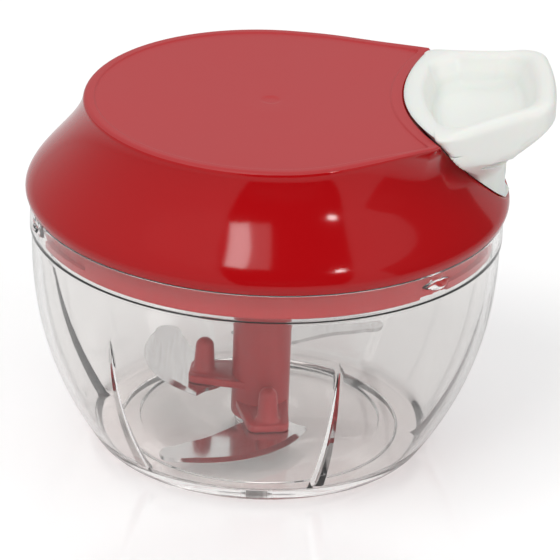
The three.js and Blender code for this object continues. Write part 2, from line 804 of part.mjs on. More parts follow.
function makeLidBase() {
  const plateEdge = skirtInner - seatGap;
  const wellOuter = wellRadius + wellWall;
  let base = revolve([
    [driveShaftRadius + runGap, wellFloorBottom], [wellOuter, wellFloorBottom], [wellOuter, plateBottom],
    [innerSkirtRadius - innerSkirtWall, plateBottom], [innerSkirtRadius - innerSkirtWall, innerSkirtBottom],
    [innerSkirtRadius, innerSkirtBottom], [innerSkirtRadius, plateBottom],
    [plateEdge, plateBottom], [plateEdge, plateTop], [wellRadius, plateTop],
    [wellRadius, wellTop], [driveShaftRadius + runGap, wellTop],
  ]);
  for (let i = 0; i < plateRibCount; i += 1) {
    const half = plateRibThickness / 2;
    const plan = [[wellOuter - fitGap, -half], [innerSkirtRadius - innerSkirtWall + fitGap, -half],
      [innerSkirtRadius - innerSkirtWall + fitGap, half], [wellOuter - fitGap, half]];
    const rib = raise(plan, plateBottom - plateRibHeight, plateBottom + fitGap);
    base = base.add(turned(rib, (360 * (i + 0.5)) / plateRibCount));
  }
  for (let i = 0; i < nubCount; i += 1) {
    const angle = nubFirstAngle + (360 * i) / nubCount;
    const from = angle - nubArc / 2 - grooveSideArc;
    const to = angle + nubArc / 2 + grooveSideArc;
    const inner = rimInner - nubDepth - innerSkirtGap;
    const nubTop = nubBottom + nubHeight;
    base = base.subtract(sector(inner, rimInner, innerSkirtBottom - overrun, nubTop + seatGap, from, to));
    base = base.subtract(sector(inner, rimInner, nubBottom - seatGap, nubTop + seatGap, from, to + lockArc));
  }
  screwAngles.forEach((angle) => {
    const [x, y] = polar(screwCircle, angle);
    const shank = disc(screwRadius + runGap, plateBottom - overrun, plateTop + overrun, smallSegments);
    const recessTop = plateBottom + screwRecess;
    const head = disc(screwHeadRadius + runGap, plateBottom - overrun, recessTop, smallSegments);
    base = base.subtract(join(shank, head).translate([x, y, 0]));
  });
  return base.subtract(notchBlock(-notchWallShift - seatGap, true));
}

function makeLidSeal() {
  const inner = innerSkirtRadius + sealGap;
  const outer = skirtInner - sealGap;
  const middle = (inner + outer) / 2;
  return revolve([
    [inner, rimTop + sealGap], [middle, rimTop], [outer, rimTop + sealGap],
    [outer, plateBottom], [inner, plateBottom],
  ]);
}

function makeScrew(angle) {
  const [x, y] = polar(screwCircle, angle);
  const headTop = screwHeadBottom + screwHeadHeight;
  const edge = screwHeadHeight / 3;
  const tip = headTop + screwLength;
  return revolve([
    [0, screwHeadBottom], [screwHeadRadius - edge, screwHeadBottom], [screwHeadRadius, screwHeadBottom + edge],
    [screwHeadRadius, headTop], [screwRadius, headTop], [screwRadius, tip - screwRadius], [0, tip],
  ], tinySegments).translate([x, y, 0]);
}

// Axle, reel, spring and cord

function makeAxle() {
  return revolve([
    [0, axleBottom], [axleRadius - fitGap, axleBottom], [axleRadius, axleBottom + fitGap],
    [axleRadius, axleTop], [0, axleTop],
  ], smallSegments);
}

function makeReel() {
  const bore = axleRadius + runGap;
  const drumInner = drumRadius - drumWall;
  const cup = Math.min(springCupRadius, drumInner);
  const reel = revolve([
    [bore, flangeBottom], [flangeRadius, flangeBottom], [flangeRadius, flangeBottom + flangeThickness],
    [drumRadius, flangeBottom + flangeThickness + fitGap], [drumRadius, flangeTop - flangeThickness - fitGap],
    [flangeRadius, flangeTop - flangeThickness], [flangeRadius, flangeTop],
    [cup + wellWall, flangeTop], [cup + wellWall, coverBottom], [cup, coverBottom],
    [cup, springCupBottom], [bore, springCupBottom],
  ]);
  const teeth = [];
  for (let i = 0; i < ratchetTeeth; i += 1) {
    teeth.push(polar(ratchetRoot, toothAngle * i));
    teeth.push(polar((ratchetRoot + ratchetTip) / 2, toothAngle * (i + 0.5)));
    teeth.push(polar(ratchetTip, toothAngle * (i + 1)));
  }
  const ringBottom = flangeBottom - ratchetHeight;
  const ring = raise(circle(ratchetOuter, reelSegments), ringBottom, flangeBottom + fitGap, [teeth]);
  const { anchor } = windingEnds();
  const arcAngle = (length) => THREE.MathUtils.radToDeg(length / cordWindRadius);
  const lugStart = anchor.angle - arcAngle(2 * cordRadius + seatGap);
  const lug = sector(drumRadius - fitGap, cordWindRadius + cordRadius, flangeBottom + fitGap,
    anchor.height + cordRadius, lugStart - arcAngle(anchorLength), lugStart);
  return join(reel, ring, lug);
}

function makeReelCover() {
  const edge = Math.min(springCupRadius, drumRadius - drumWall) + wellWall - fitGap;
  return tube(axleRadius + runGap, edge, coverBottom + fitGap, flangeTop);
}

// A bar of constant section swept through frames given as position, side and up vectors.
function sweep(frames, section) {
  return loft(frames.map(({ place, side, up }) => section.map(([a, b]) => {
    const point = place.clone().addScaledVector(side, a).addScaledVector(up, b);
    return [point.x, point.y, point.z];
  })));
}

function makeRecoilSpring() {
  const steps = springTurns * smallSegments;
  const start = axleRadius + seatGap + springStrip;
  const end = Math.min(springCupRadius, drumRadius - drumWall) - seatGap - springStrip;
  const middle = (springCupBottom + coverBottom) / 2;
  const up = new THREE.Vector3(0, 0, 1);
  const frames = Array.from({ length: steps + 1 }, (_, i) => {
    const [x, y] = polar(start + ((end - start) * i) / steps, (360 * i) / smallSegments);
    const place = new THREE.Vector3(x, y, middle);
    return { place, side: new THREE.Vector3(x, y, 0).normalize(), up };
  });
  const [half, tall] = [springStrip / 2, springHeight / 2];
  const gap = (end - start) / springTurns - springStrip;
  console.log(`recoil spring: least gap between turns ${gap.toFixed(2)} mm`);
  return sweep(frames, [[-half, -tall], [half, -tall], [half, tall], [-half, tall]]);
}

// Where the cord leaves the drum for the guide, and where its wound end is tied.
function windingEnds() {
  const guideX = guideBossStart - eyeletFlange - leadBend;
  const leave = THREE.MathUtils.radToDeg(Math.acos(cordWindRadius / guideX));
  const low = flangeBottom + flangeThickness + flangeEase + cordRadius;
  return {
    lead: { angle: -leave, height: low + cordPitch * cordTurns },
    anchor: { angle: -leave - 360 * cordTurns, height: low },
  };
}

function windingPoints() {
  const { lead, anchor } = windingEnds();
  const steps = Math.round(cordTurns * loopSteps);
  const points = [];
  for (let i = 0; i <= steps; i += 1) {
    const share = i / steps;
    const angle = lead.angle + (anchor.angle - lead.angle) * share;
    const [x, y] = polar(cordWindRadius, angle);
    points.push(new THREE.Vector3(x, y, lead.height + (anchor.height - lead.height) * share));
  }
  return points;
}

// A round cord through a row of points, with its first and last cuts square to its run.
function cordAlong(points, radius = cordRadius) {
  const up = new THREE.Vector3(0, 0, 1);
  const frames = points.map((place, i) => {
    const next = points[Math.min(i + 1, points.length - 1)];
    const along = next.clone().sub(points[Math.max(i - 1, 0)]).normalize();
    const side = along.clone().cross(up).normalize();
    return { place, side, up: side.clone().cross(along) };
  });
  return sweep(frames, circle(radius, cordSides));
}

function makeCordWinding() {
  const points = windingPoints();
  const first = points[0].clone().sub(points[1]).normalize();
  const last = points[points.length - 1].clone().sub(points[points.length - 2]).normalize();
  points.unshift(points[0].clone().addScaledVector(first, 2 * cordRadius));
  points.push(points[points.length - 1].clone().addScaledVector(last, 2 * cordRadius));
  let least = Infinity;
  points.forEach((point, i) => {
    const others = points.slice(i + loopSteps / 2);
    others.forEach((other) => {
      least = Math.min(least, point.distanceTo(other));
    });
  });
  console.log(`cord winding: least gap to itself ${(least - 2 * cordRadius).toFixed(2)} mm`);
  return cordAlong(points);
}

function makeCordLead() {
  const points = windingPoints();
  const tangent = points[0].clone().sub(points[1]).normalize();
  const start = points[0].clone().addScaledVector(tangent, 2 * cordRadius + seatGap);
  const mouth = new THREE.Vector3(guideBossStart - eyeletFlange, 0, cordHeight);
  const knot = new THREE.Vector3(keelOuter - plugThickness - knotRadius - seatGap, 0, cordHeight);
  const bend = mouth.clone().setX(mouth.x - leadBend);
  const before = bend.clone().addScaledVector(start.clone().sub(bend).normalize(), leadBend);
  const after = mouth.clone();
  const curve = new THREE.QuadraticBezierCurve3(before, bend, after);
  const run = [start, start.clone().lerp(before, 0.5), ...curve.getPoints(roundSteps), knot];
  const ball = new THREE.SphereGeometry(knotRadius, tinySegments, tinySegments);
  return cordAlong(run).add(solid(ball.translate(knot.x, knot.y, knot.z)));
}

function makeEyelet() {
  const start = guideBossStart - eyeletFlange;
  const end = guideBossStart + eyeletLength;
  const body = join(barX(eyeletFlangeRadius, start, guideBossStart, cordHeight),
    barX(eyeletRadius, guideBossStart - fitGap, end, cordHeight));
  return body.subtract(barX(eyeletBore, start - overrun, end + overrun, cordHeight));
}

// Drive hub and pawls

function makeDriveHub() {
  const bottom = socketBottom + dogBottomGap;
  const sleeveTop = flangeBottom - seatGap;
  let hub = revolve([
    [0, bottom], [dogCoreRadius, bottom], [dogCoreRadius, hubTop + seatGap],
    [driveShaftRadius, hubTop + seatGap], [driveShaftRadius, discBottom],
    [driveDiscRadius, discBottom], [driveDiscRadius, discTop],
    [driveSleeveRadius, discTop], [driveSleeveRadius, sleeveTop], [0, sleeveTop],
  ], reelSegments);
  hub = hub.subtract(disc(axleRadius + runGap, axleBottom - seatGap, sleeveTop + overrun, smallSegments));
  for (let i = 0; i < keyCount; i += 1) {
    const half = dogWingWidth / 2;
    const plan = [[0, -half], [dogWingReach, -half], [dogWingReach, half], [0, half]];
    hub = hub.add(turned(raise(plan, bottom, hubTop + seatGap + fitGap), (360 * i) / keyCount));
  }
  for (let i = 0; i < pawlCount; i += 1) {
    const [x, y] = polar(pawlPivotReach, pawlPivotAngle + (360 * i) / pawlCount);
    const pin = disc(pawlPinRadius, discTop - fitGap, sleeveTop - seatGap, tinySegments);
    hub = hub.add(pin.translate([x, y, 0]));
  }
  return hub;
}

function makeThrustWasher() {
  return tube(driveShaftRadius + runGap, washerRadius, wellTop, wellTop + washerThickness, smallSegments);
}

// A pawl reaches back from its pivot into the tooth behind it. It hangs a little short of
// that tooth's face, which pushes on its end once the reel turns.
function makePawl(index) {
  const pivot = polar(pawlPivotReach, pawlPivotAngle);
  const tipAngle = toothAngle * pawlTooth + pawlBacklash;
  const outerTip = polar(ratchetRoot - pawlTipEase, tipAngle);
  const innerTip = polar(ratchetRoot - pawlTipEase - pawlFaceHeight, tipAngle);
  const lean = THREE.MathUtils.radToDeg(Math.atan2(outerTip[1] - pivot[1], outerTip[0] - pivot[0]));
  const eye = arc(pawlEyeRadius, lean + 90, lean + 270, curveSteps, pivot[0], pivot[1]);
  const bottom = discTop + runGap;
  const hole = circle(pawlPinRadius + fitGap, tinySegments, pivot[0], pivot[1]);
  const pawl = raise([...eye, innerTip, outerTip], bottom, bottom + pawlThickness, [hole]);
  return turned(pawl, (360 * index) / pawlCount);
}

// Materials

const clear = { color: 0xdfe3e6, roughness: 0.08, metalness: 0, transparent: true, opacity: 0.35 };
const redGloss = { color: 0xb01c22, roughness: 0.22, metalness: 0 };
const redHub = { color: 0xa93a3e, roughness: 0.4, metalness: 0 };
const white = { color: 0xf0f0ec, roughness: 0.35, metalness: 0 };
const greyPlastic = { color: 0x6f7478, roughness: 0.5, metalness: 0 };
const steel = { color: 0xc4c6c8, roughness: 0.25, metalness: 1 };
const springSteel = { color: 0x6c7076, roughness: 0.3, metalness: 1 };
const silicone = { color: 0xe8e8e6, roughness: 0.6, metalness: 0 };
const cordWhite = { color: 0xece9e1, roughness: 0.9, metalness: 0 };

const chopper = new THREE.Group();

// Adds one finished piece to the model under its name.
function place(name, shape, look) {
  const { numProp, vertProperties, triVerts } = shape.getMesh();
  const geometry = new THREE.BufferGeometry();
  const points = new Float32Array((vertProperties.length / numProp) * 3);
  for (let i = 0; i < points.length / 3; i += 1) {
    for (let k = 0; k < 3; k += 1) points[3 * i + k] = vertProperties[numProp * i + k];
  }
  geometry.setAttribute('position', new THREE.BufferAttribute(points, 3));
  geometry.setIndex(new THREE.BufferAttribute(new Uint32Array(triVerts), 1));
  geometry.computeVertexNormals();
  const mesh = new THREE.Mesh(geometry, new THREE.MeshStandardMaterial(look));
  mesh.name = name;
  chopper.add(mesh);
}

place('bowl', makeBowl(), clear);
place('spindle_pin', makeSpindlePin(), steel);
place('blade_hub', makeBladeHub(), redHub);
['blade_lower', 'blade_middle', 'blade_upper'].forEach((name, i) => place(name, makeBlade(i), steel));
place('lid_seal', makeLidSeal(), silicone);
place('lid_housing', makeLidHousing(), redGloss);
place('lid_base', makeLidBase(), redGloss);
screwAngles.forEach((angle, i) => place(`lid_screw_${i + 1}`, makeScrew(angle), steel));
place('cord_eyelet', makeEyelet(), white);
place('reel_axle', makeAxle(), steel);
place('thrust_washer', makeThrustWasher(), greyPlastic);
place('cord_reel', makeReel(), white);
place('reel_cover', makeReelCover(), greyPlastic);
place('recoil_spring', makeRecoilSpring(), springSteel);
place('cord_winding', makeCordWinding(), cordWhite);
place('cord_lead', makeCordLead(), cordWhite);
place('drive_hub', makeDriveHub(), greyPlastic);
for (let i = 0; i < pawlCount; i += 1) place(`pawl_${i + 1}`, makePawl(i), steel);
place('handle', makeHandle(), white);
place('handle_plug', makeHandlePlug(), white);

export default chopper;
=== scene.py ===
"""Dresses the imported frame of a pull-cord food chopper with its visible pieces and a stage.

Points are worked out in millimetres, in the frame's own axes, and made metres in the mesh.
"""

import math

import bpy
import numpy as np
from mathutils import Matrix, Vector


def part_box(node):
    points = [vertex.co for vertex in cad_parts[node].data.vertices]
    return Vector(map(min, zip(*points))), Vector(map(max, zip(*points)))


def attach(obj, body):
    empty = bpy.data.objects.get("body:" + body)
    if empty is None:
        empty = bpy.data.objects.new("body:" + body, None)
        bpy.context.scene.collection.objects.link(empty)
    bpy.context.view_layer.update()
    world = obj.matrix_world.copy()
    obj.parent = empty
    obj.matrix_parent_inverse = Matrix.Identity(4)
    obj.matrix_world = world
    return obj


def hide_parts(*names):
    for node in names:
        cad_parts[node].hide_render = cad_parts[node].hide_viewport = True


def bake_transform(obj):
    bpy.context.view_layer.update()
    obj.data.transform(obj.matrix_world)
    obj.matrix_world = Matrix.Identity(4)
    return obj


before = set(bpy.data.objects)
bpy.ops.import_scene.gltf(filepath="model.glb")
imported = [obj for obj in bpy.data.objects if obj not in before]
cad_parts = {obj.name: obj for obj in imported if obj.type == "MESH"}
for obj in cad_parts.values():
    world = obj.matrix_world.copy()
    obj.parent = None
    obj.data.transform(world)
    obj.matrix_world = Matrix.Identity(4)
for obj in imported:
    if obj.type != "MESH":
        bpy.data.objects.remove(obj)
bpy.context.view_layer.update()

bl_info = {
    "name": "Pull-Cord Food Chopper",
    "version": (1, 0, 0),
    "blender": (4, 5, 0),
    "location": "3D View > Sidebar > Chopper",
    "description": "Builds the visible pieces of a pull-cord food chopper around its CAD frame",
    "category": "Object",
}

MM = 0.001
TURN = 2 * math.pi
QUARTER = math.pi / 2
WHITE = (1.0, 1.0, 1.0, 1.0)
COLUMNS = 480


# Places read from the frame

def box(node):
    """The lowest and highest corner of a CAD node, in millimetres."""
    low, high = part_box(node)
    return np.array(low) / MM, np.array(high) / MM


def cad_points(node):
    """The corners of a CAD node's mesh, in millimetres."""
    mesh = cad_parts[node].data
    points = np.zeros(len(mesh.vertices) * 3)
    mesh.vertices.foreach_get("co", points)
    return points.reshape(-1, 3) / MM


def reach(node, low, high, least=False):
    """How far a CAD node stands off the middle axis between two heights."""
    points = cad_points(node)
    there = points[(points[:, 2] > low) & (points[:, 2] < high)]
    radii = np.hypot(there[:, 0], there[:, 1])
    return float(radii.min() if least else radii.max())


BOWL_HIGH = box("bowl")[1]
LID_LOW, LID_HIGH = box("lid_housing")
BASE_LOW, BASE_HIGH = box("lid_base")
GRIP_HIGH = box("handle")[1]
HUB_LOW, HUB_HIGH = box("blade_hub")
PIN_LOW, PIN_HIGH = box("spindle_pin")
SEAL_LOW, SEAL_HIGH = box("lid_seal")
EYELET_LOW, EYELET_HIGH = box("cord_eyelet")
PLUG_LOW, PLUG_HIGH = box("handle_plug")
SCREW_LOW, SCREW_HIGH = box("lid_screw_1")

RIM_RADIUS = BOWL_HIGH[0]
RIM_TOP = BOWL_HIGH[2]
BAND_HEIGHT = 8.0
RIM_BOTTOM = RIM_TOP - BAND_HEIGHT
BELLY_RADIUS = RIM_RADIUS - 0.55
FOOT_RADIUS = reach("bowl", -0.1, 0.1)
START_RADIUS = FOOT_RADIUS + 0.5
FOOT_WIDTH = 5.8
FOOT_RECESS = 1.8
SIDE_LOW = 1.6
SIDE_HIGH = RIM_BOTTOM - 1.0
FLOOR_TOP = 4.2
FLOOR_STEP = 0.3
BOSS_RADIUS = 6.0
BOSS_TOP = FLOOR_TOP + 0.8
PIN_RADIUS = PIN_HIGH[0]
BELLY_POWER = 2.35

BULGE_RADIUS = LID_HIGH[1]
SKIRT_RADIUS = BULGE_RADIUS - 0.4
SKIRT_INNER = SKIRT_RADIUS - 1.8
SKIRT_BOTTOM = LID_LOW[2]
SKIRT_EDGE = SKIRT_BOTTOM + 0.45
BULGE_HEIGHT = SKIRT_BOTTOM + 2.35
WING_RISE = 0.8
HANDLE_LIFT = 1.4
LID_TOP = LID_HIGH[2] - WING_RISE
CROWN_ROUND = 1.5
CROWN_HEIGHT = LID_TOP - CROWN_ROUND
WAIST_RADIUS = BULGE_RADIUS - 12.7
CROWN_RADIUS = WAIST_RADIUS - 1.6
WING_START = LID_TOP - 10.0
WING_ANGLE = math.radians(66.0)
CORNER_ANGLE = math.radians(38.5)
NOTCH_FACE = CROWN_RADIUS - 14.5
NOTCH_SLOPE = (BULGE_RADIUS - NOTCH_FACE) / (LID_TOP - SKIRT_BOTTOM - 3.25)
NOTCH_BEND = 120.0
NOTCH_SKEW = 0.035
NOTCH_EASE = 0.35
EDGE_INSET = 0.75
PANEL_DIP = 0.28
PLATE_BOTTOM = RIM_TOP + 2.0
PLATE_TOP = BASE_HIGH[2]
WELL_RADIUS = 23.0
WELL_LOW = 61.0
WELL_TOP = 63.0
WELL_HOLE = 5.7

HANDLE_END = GRIP_HIGH[0]
KEEL_OUTER = PLUG_HIGH[0]
SEAT_GAP = 0.3
SLOPE_START = NOTCH_FACE + 8.8
ROOT_HALF = CROWN_RADIUS - 16.8
GRIP_TOP = LID_TOP + 2.0
TOP_SLOPE = 0.2
UNDER_LEVEL = LID_TOP - 6.4
UNDER_SLOPE = 0.62
END_BULGE = 0.8
END_CORNER = 8.0
ROOT_CORNER = 2.5
DISH_CORNER = 7.0
RIM_GAP = 1.0

CORD_HEIGHT = (EYELET_LOW[2] + EYELET_HIGH[2]) / 2
EYELET_RADIUS = 3.0
KNOT_RADIUS = 2.6
PLUG_LENGTH = 1.6
WIND_RADIUS = 23.0
WIND_TURNS = 4.25
WIND_PITCH = 2.6
WIND_LOW = CORD_HEIGHT - WIND_PITCH * WIND_TURNS / 2
CORD_BEND = EYELET_LOW[0] - 4.0
LEAVING_ANGLE = math.acos(WIND_RADIUS / CORD_BEND)
SCREW_X = (SCREW_LOW[0] + SCREW_HIGH[0]) / 2
SCREW_Y = (SCREW_LOW[1] + SCREW_HIGH[1]) / 2
SCREW_SPOTS = [(x * SCREW_X, y * SCREW_Y, 0) for x in (-1, 1) for y in (-1, 1)]

ARM_ANGLES = [math.radians(angle) for angle in (-82.0, -185.0, -277.0)]
ARM_TOPS = [10.2, 16.2, 22.2]
HUB_RADIUS = 7.6
SOCKET_RADIUS = 5.6
SOCKET_DEPTH = 5.9
ARM_THICKNESS = 2.0
PEG_REACH = 15.0
PEG_HEIGHT = 9.0
PEG_RADIUS = 2.4
NUB_ANGLES = [math.radians(angle) for angle in (-44.0, 76.0, 196.0)]
NUB_BOTTOM = RIM_TOP - 4.6
NUB_TOP = NUB_BOTTOM + 2.0
NUB_MIDDLE = (NUB_BOTTOM + NUB_TOP) / 2
RIB_COUNT = 6
RIB_FIRST = math.radians(-70.5)
RIB_TOP = RIM_BOTTOM - 12.2


# Sizes and colours that a user would change

def length(label, what, millimetres):
    return bpy.props.FloatProperty(
        name=label, description=what, default=millimetres * MM, unit="LENGTH", subtype="DISTANCE"
    )


def colour(label, what, value):
    return bpy.props.FloatVectorProperty(
        name=label, description=what, default=value, size=3, min=0.0, max=1.0, subtype="COLOR"
    )


class ChopperSizes(bpy.types.PropertyGroup):
    """Sizes of the finished pieces."""

    bowl_wall: length("Bowl Wall", "Thickness of the clear bowl's wall", 2.2)
    rib_depth: length("Rib Depth", "How far a crushing rib stands out at the floor", 2.3)
    rib_half: length("Rib Half Width", "Half the width of a crushing rib at the floor", 2.2)
    lug_proud: length("Lug Height", "How far a rim lug stands out of the band", 0.7)
    lid_wall: length("Lid Wall", "Thickness of the lid housing's wall", 2.1)
    bead_width: length("Bead Width", "Width of the raised border of the lid's top", 3.0)
    panel_recess: length("Panel Recess", "How far the lid's top panel lies below its border", 0.35)
    grip_rim: length("Grip Rim", "Width of the handle's rim round its dish", 5.6)
    dish_depth: length("Dish Depth", "Depth of the handle's dish", 7.6)
    blade_thickness: length("Blade Thickness", "Thickness of a blade", 1.0)
    blade_bevel: length("Blade Bevel", "Width of a blade's ground bevel", 1.6)
    cord_radius: length("Cord Radius", "Half the thickness of the cord", 1.0)


class ChopperColours(bpy.types.PropertyGroup):
    """Colours of the finishes."""

    side: colour("Side Red", "Glossy red of the lid's sides", (0.39, 0.003, 0.005))
    panel: colour("Panel Red", "Satin red of the lid's top", (0.43, 0.028, 0.032))
    hub: colour("Hub Red", "Red of the blade hub", (0.44, 0.018, 0.022))
    # Painted light: the lid base is the same red plastic as the hub, lightened here to stand in for
    # light that the lid's shade keeps off the inner skirt.
    base: colour("Base Red With Painted Light", "Red of the lid's base", (0.58, 0.035, 0.038))
    white: colour("Handle White", "White of the pull handle", (0.80, 0.815, 0.78))
    clear: colour("Clear Plastic", "Tint of the bowl", (0.88, 0.87, 0.86))
    steel: colour("Blade Steel", "Colour of the blades", (0.68, 0.68, 0.68))
    silicone: colour("Silicone", "Colour of the seal", (0.78, 0.78, 0.76))
    cord: colour("Cord", "Colour of the pull cord", (0.78, 0.75, 0.68))


def sizes():
    return bpy.context.scene.chopper_sizes


def colours():
    return bpy.context.scene.chopper_colours


# Mesh tools

def mesh_object(name, points, faces, *materials):
    """A new object from points in millimetres, turned so that its faces point outwards."""
    points = np.asarray(points, float)
    volume = 0.0
    for count in {len(face) for face in faces}:
        group = np.array([face for face in faces if len(face) == count])
        a = points[group[:, 0]]
        for k in range(1, count - 1):
            b, c = points[group[:, k]], points[group[:, k + 1]]
            volume += float((a * np.cross(b, c)).sum())
    if volume < 0:
        faces = [tuple(reversed(face)) for face in faces]
    mesh = bpy.data.meshes.new(name)
    mesh.from_pydata((points * MM).tolist(), [], faces)
    for material in materials:
        mesh.materials.append(material)
    made = bpy.data.objects.new(name.replace(" ", "_"), mesh)
    bpy.context.scene.collection.objects.link(made)
    return made


def shell(rings, start=None, end=None, loop=False):
    """Points and faces of a skin over rings of equal length, closed by a pole at either end."""
    rings = np.asarray(rings, float)
    rows, columns = rings.shape[:2]
    r = np.arange(rows if loop else rows - 1)[:, None]
    c = np.arange(columns)[None, :]
    across = (c + 1) % columns
    above = (r + 1) % rows
    quads = np.stack(
        [r * columns + c, r * columns + across, above * columns + across, above * columns + c], -1
    )
    points = rings.reshape(-1, 3).tolist()
    faces = [tuple(face) for face in quads.reshape(-1, 4).tolist()]
    for pole, row in ((start, 0), (end, rows - 1)):
        if pole is None:
            continue
        middle = len(points)
        points.append(list(pole))
        for k in range(columns):
            pair = (row * columns + (k + 1) % columns, row * columns + k)
            faces.append((middle, *(pair if row == 0 else pair[::-1])))
    return points, faces


def rounded(corners, steps=4):
    """A path through corners given as (x, y, radius), with each corner eased over its radius."""
    path = []
    for i, (x, y, radius) in enumerate(corners):
        here = np.array([x, y], float)
        if radius <= 0 or i in (0, len(corners) - 1):
            path.append(here)
            continue
        before = np.array(corners[i - 1][:2], float) - here
        after = np.array(corners[i + 1][:2], float) - here
        start = here + before * min(radius / np.linalg.norm(before), 0.5)
        end = here + after * min(radius / np.linalg.norm(after), 0.5)
        for k in range(steps + 1):
            t = k / steps
            path.append(start * (1 - t) ** 2 + here * 2 * t * (1 - t) + end * t ** 2)
    return np.array(path)


def arc(x, y, radius, start, end, count):
    """Points of a round about (x, y), from one angle to another."""
    angles = np.linspace(start, end, count)
    return [(x + radius * math.cos(a), y + radius * math.sin(a)) for a in angles]


def around(radii, angles, heights):
    """Points at radii and heights round the middle axis."""
    places = np.broadcast_arrays(radii * np.cos(angles), radii * np.sin(angles), heights)
    return np.column_stack(places)


def eased(share):
    """A share from 0 to 1, made to start and end softly."""
    return share ** 2 * (3 - 2 * share)


def turned_rings(profile, segments):
    angles = np.arange(segments) * TURN / segments
    return np.stack(
        [
            np.outer(profile[:, 0], np.cos(angles)),
            np.outer(profile[:, 0], np.sin(angles)),
            np.repeat(profile[:, 1][:, None], segments, 1),
        ],
        -1,
    )


def lathe(name, profile, segments, *materials, loop=False):
    """A turned piece. An open profile starts and ends on the axis, a looped one is a ring."""
    profile = np.asarray(profile, float)
    if loop:
        points, faces = shell(turned_rings(profile, segments), loop=True)
    else:
        start, end = profile[0], profile[-1]
        points, faces = shell(
            turned_rings(profile[1:-1], segments), (0, 0, start[1]), (0, 0, end[1])
        )
    return mesh_object(name, points, faces, *materials)


def prism(name, plan, bottom, top, *materials):
    """A straight block over a plan outline."""
    plan = np.asarray(plan, float)
    count = len(plan)
    low = np.column_stack([plan, np.full(count, bottom)])
    high = np.column_stack([plan, np.full(count, top)])
    faces = [(k, (k + 1) % count, count + (k + 1) % count, count + k) for k in range(count)]
    faces += [tuple(range(count - 1, -1, -1)), tuple(range(count, 2 * count))]
    return mesh_object(name, np.vstack([low, high]), faces, *materials)


def move(made, turn=0.0, place=(0, 0, 0), tilt=None):
    """Turns a piece about the upright axis, then puts it in its place, inside its mesh."""
    matrix = Matrix.Translation(Vector(place) * MM) @ Matrix.Rotation(turn, 4, "Z")
    if tilt is not None:
        matrix = matrix @ tilt
    made.data.transform(matrix)
    return made


def bake(made):
    """The piece's own mesh takes the shape that its modifiers give it."""
    bpy.context.view_layer.update()
    result = made.evaluated_get(bpy.context.evaluated_depsgraph_get())
    mesh = bpy.data.meshes.new_from_object(result)
    old = made.data
    made.modifiers.clear()
    made.data = mesh
    mesh.name = made.name
    if old.users == 0:
        bpy.data.meshes.remove(old)
    return made


def carve(target, tool, operation="DIFFERENCE"):
    """Joins a tool piece to the target, or cuts it out of the target."""
    modifier = target.modifiers.new("Carve", "BOOLEAN")
    modifier.operation = operation
    modifier.object = tool
    modifier.solver = "MANIFOLD"
    bake(target)
    bpy.data.objects.remove(tool)
    if not target.data.polygons:
        raise RuntimeError(f"{target.name} lost its faces to {operation.lower()}")
    return target


def merge(*parts):
    """One object from several that do not touch."""
    first = parts[0]
    points, faces = [], []
    for part in parts:
        offset = len(points)
        points += [list(vertex.co / MM) for vertex in part.data.vertices]
        faces += [tuple(offset + k for k in face.vertices) for face in part.data.polygons]
    name = first.name
    materials = list(first.data.materials)
    for part in parts:
        bpy.data.objects.remove(part)
    return mesh_object(name, points, faces, *materials)


def soften(made, width, steps=2, angle=35.0):
    """A small rounding along a piece's sharp edges."""
    modifier = made.modifiers.new("Soften", "BEVEL")
    modifier.width = width * MM
    modifier.segments = steps
    modifier.limit_method = "ANGLE"
    modifier.angle_limit = math.radians(angle)
    return bake(made)


def finish_piece(made, body, slot, *nodes, crease=34.0):
    """Shades a piece, lets it ride on its body and puts it in the place of its CAD nodes."""
    made.data.shade_smooth()
    made.data.set_sharp_from_angle(angle=math.radians(crease))
    if body is not None:
        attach(made, body)
    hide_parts(*nodes)
    return made


# Finishes

def add_node(tree, kind, **settings):
    made = tree.nodes.new(kind)
    for key, value in settings.items():
        setattr(made, key, value)
    return made


def feed(made, *in_order, **by_name):
    """Gives a node's inputs their numbers or links; a name has _ for each space."""
    pairs = list(zip(made.inputs, in_order))
    pairs += [(made.inputs[label.replace("_", " ")], value) for label, value in by_name.items()]
    for socket, value in pairs:
        if isinstance(value, bpy.types.NodeSocket):
            made.id_data.links.new(value, socket)
        elif value is not None:
            socket.default_value = value
    return made


def maths(tree, operation, first, second=None):
    """A Math node on two values, each of them a number or a socket."""
    return feed(add_node(tree, "ShaderNodeMath", operation=operation), first, second).outputs[0]


def vector(tree, *in_order, **axes):
    """A vector from the numbers or sockets of its axes."""
    return feed(add_node(tree, "ShaderNodeCombineXYZ"), *in_order, **axes).outputs[0]


def new_group(name, inputs, *outputs):
    """A shader node group with named sockets: its tree, its input's sockets and its output node."""
    tree = bpy.data.node_groups.new(name, "ShaderNodeTree")
    kinds = {
        "Vector": "NodeSocketVector", "Line Stretch": "NodeSocketVector", "Colour": "NodeSocketColor",
    }
    sockets = [("INPUT", label, value) for label, value in inputs.items()]
    for way, label, value in sockets + [("OUTPUT", label, None) for label in outputs]:
        kind = kinds.get(label, "NodeSocketFloat")
        socket = tree.interface.new_socket(name=label, in_out=way, socket_type=kind)
        if value is not None:
            socket.default_value = value
    return tree, add_node(tree, "NodeGroupInput").outputs, add_node(tree, "NodeGroupOutput")


def shaded(tree, source, value):
    """The group's colour made lighter or darker by a value that lies round 1."""
    shade = feed(add_node(tree, "ShaderNodeHueSaturation"), Value=value, Color=source["Colour"])
    return shade.outputs["Color"]


def noise(tree, place, scale, detail):
    texture = add_node(tree, "ShaderNodeTexNoise")
    return feed(texture, Vector=place, Scale=scale, Detail=detail).outputs["Fac"]


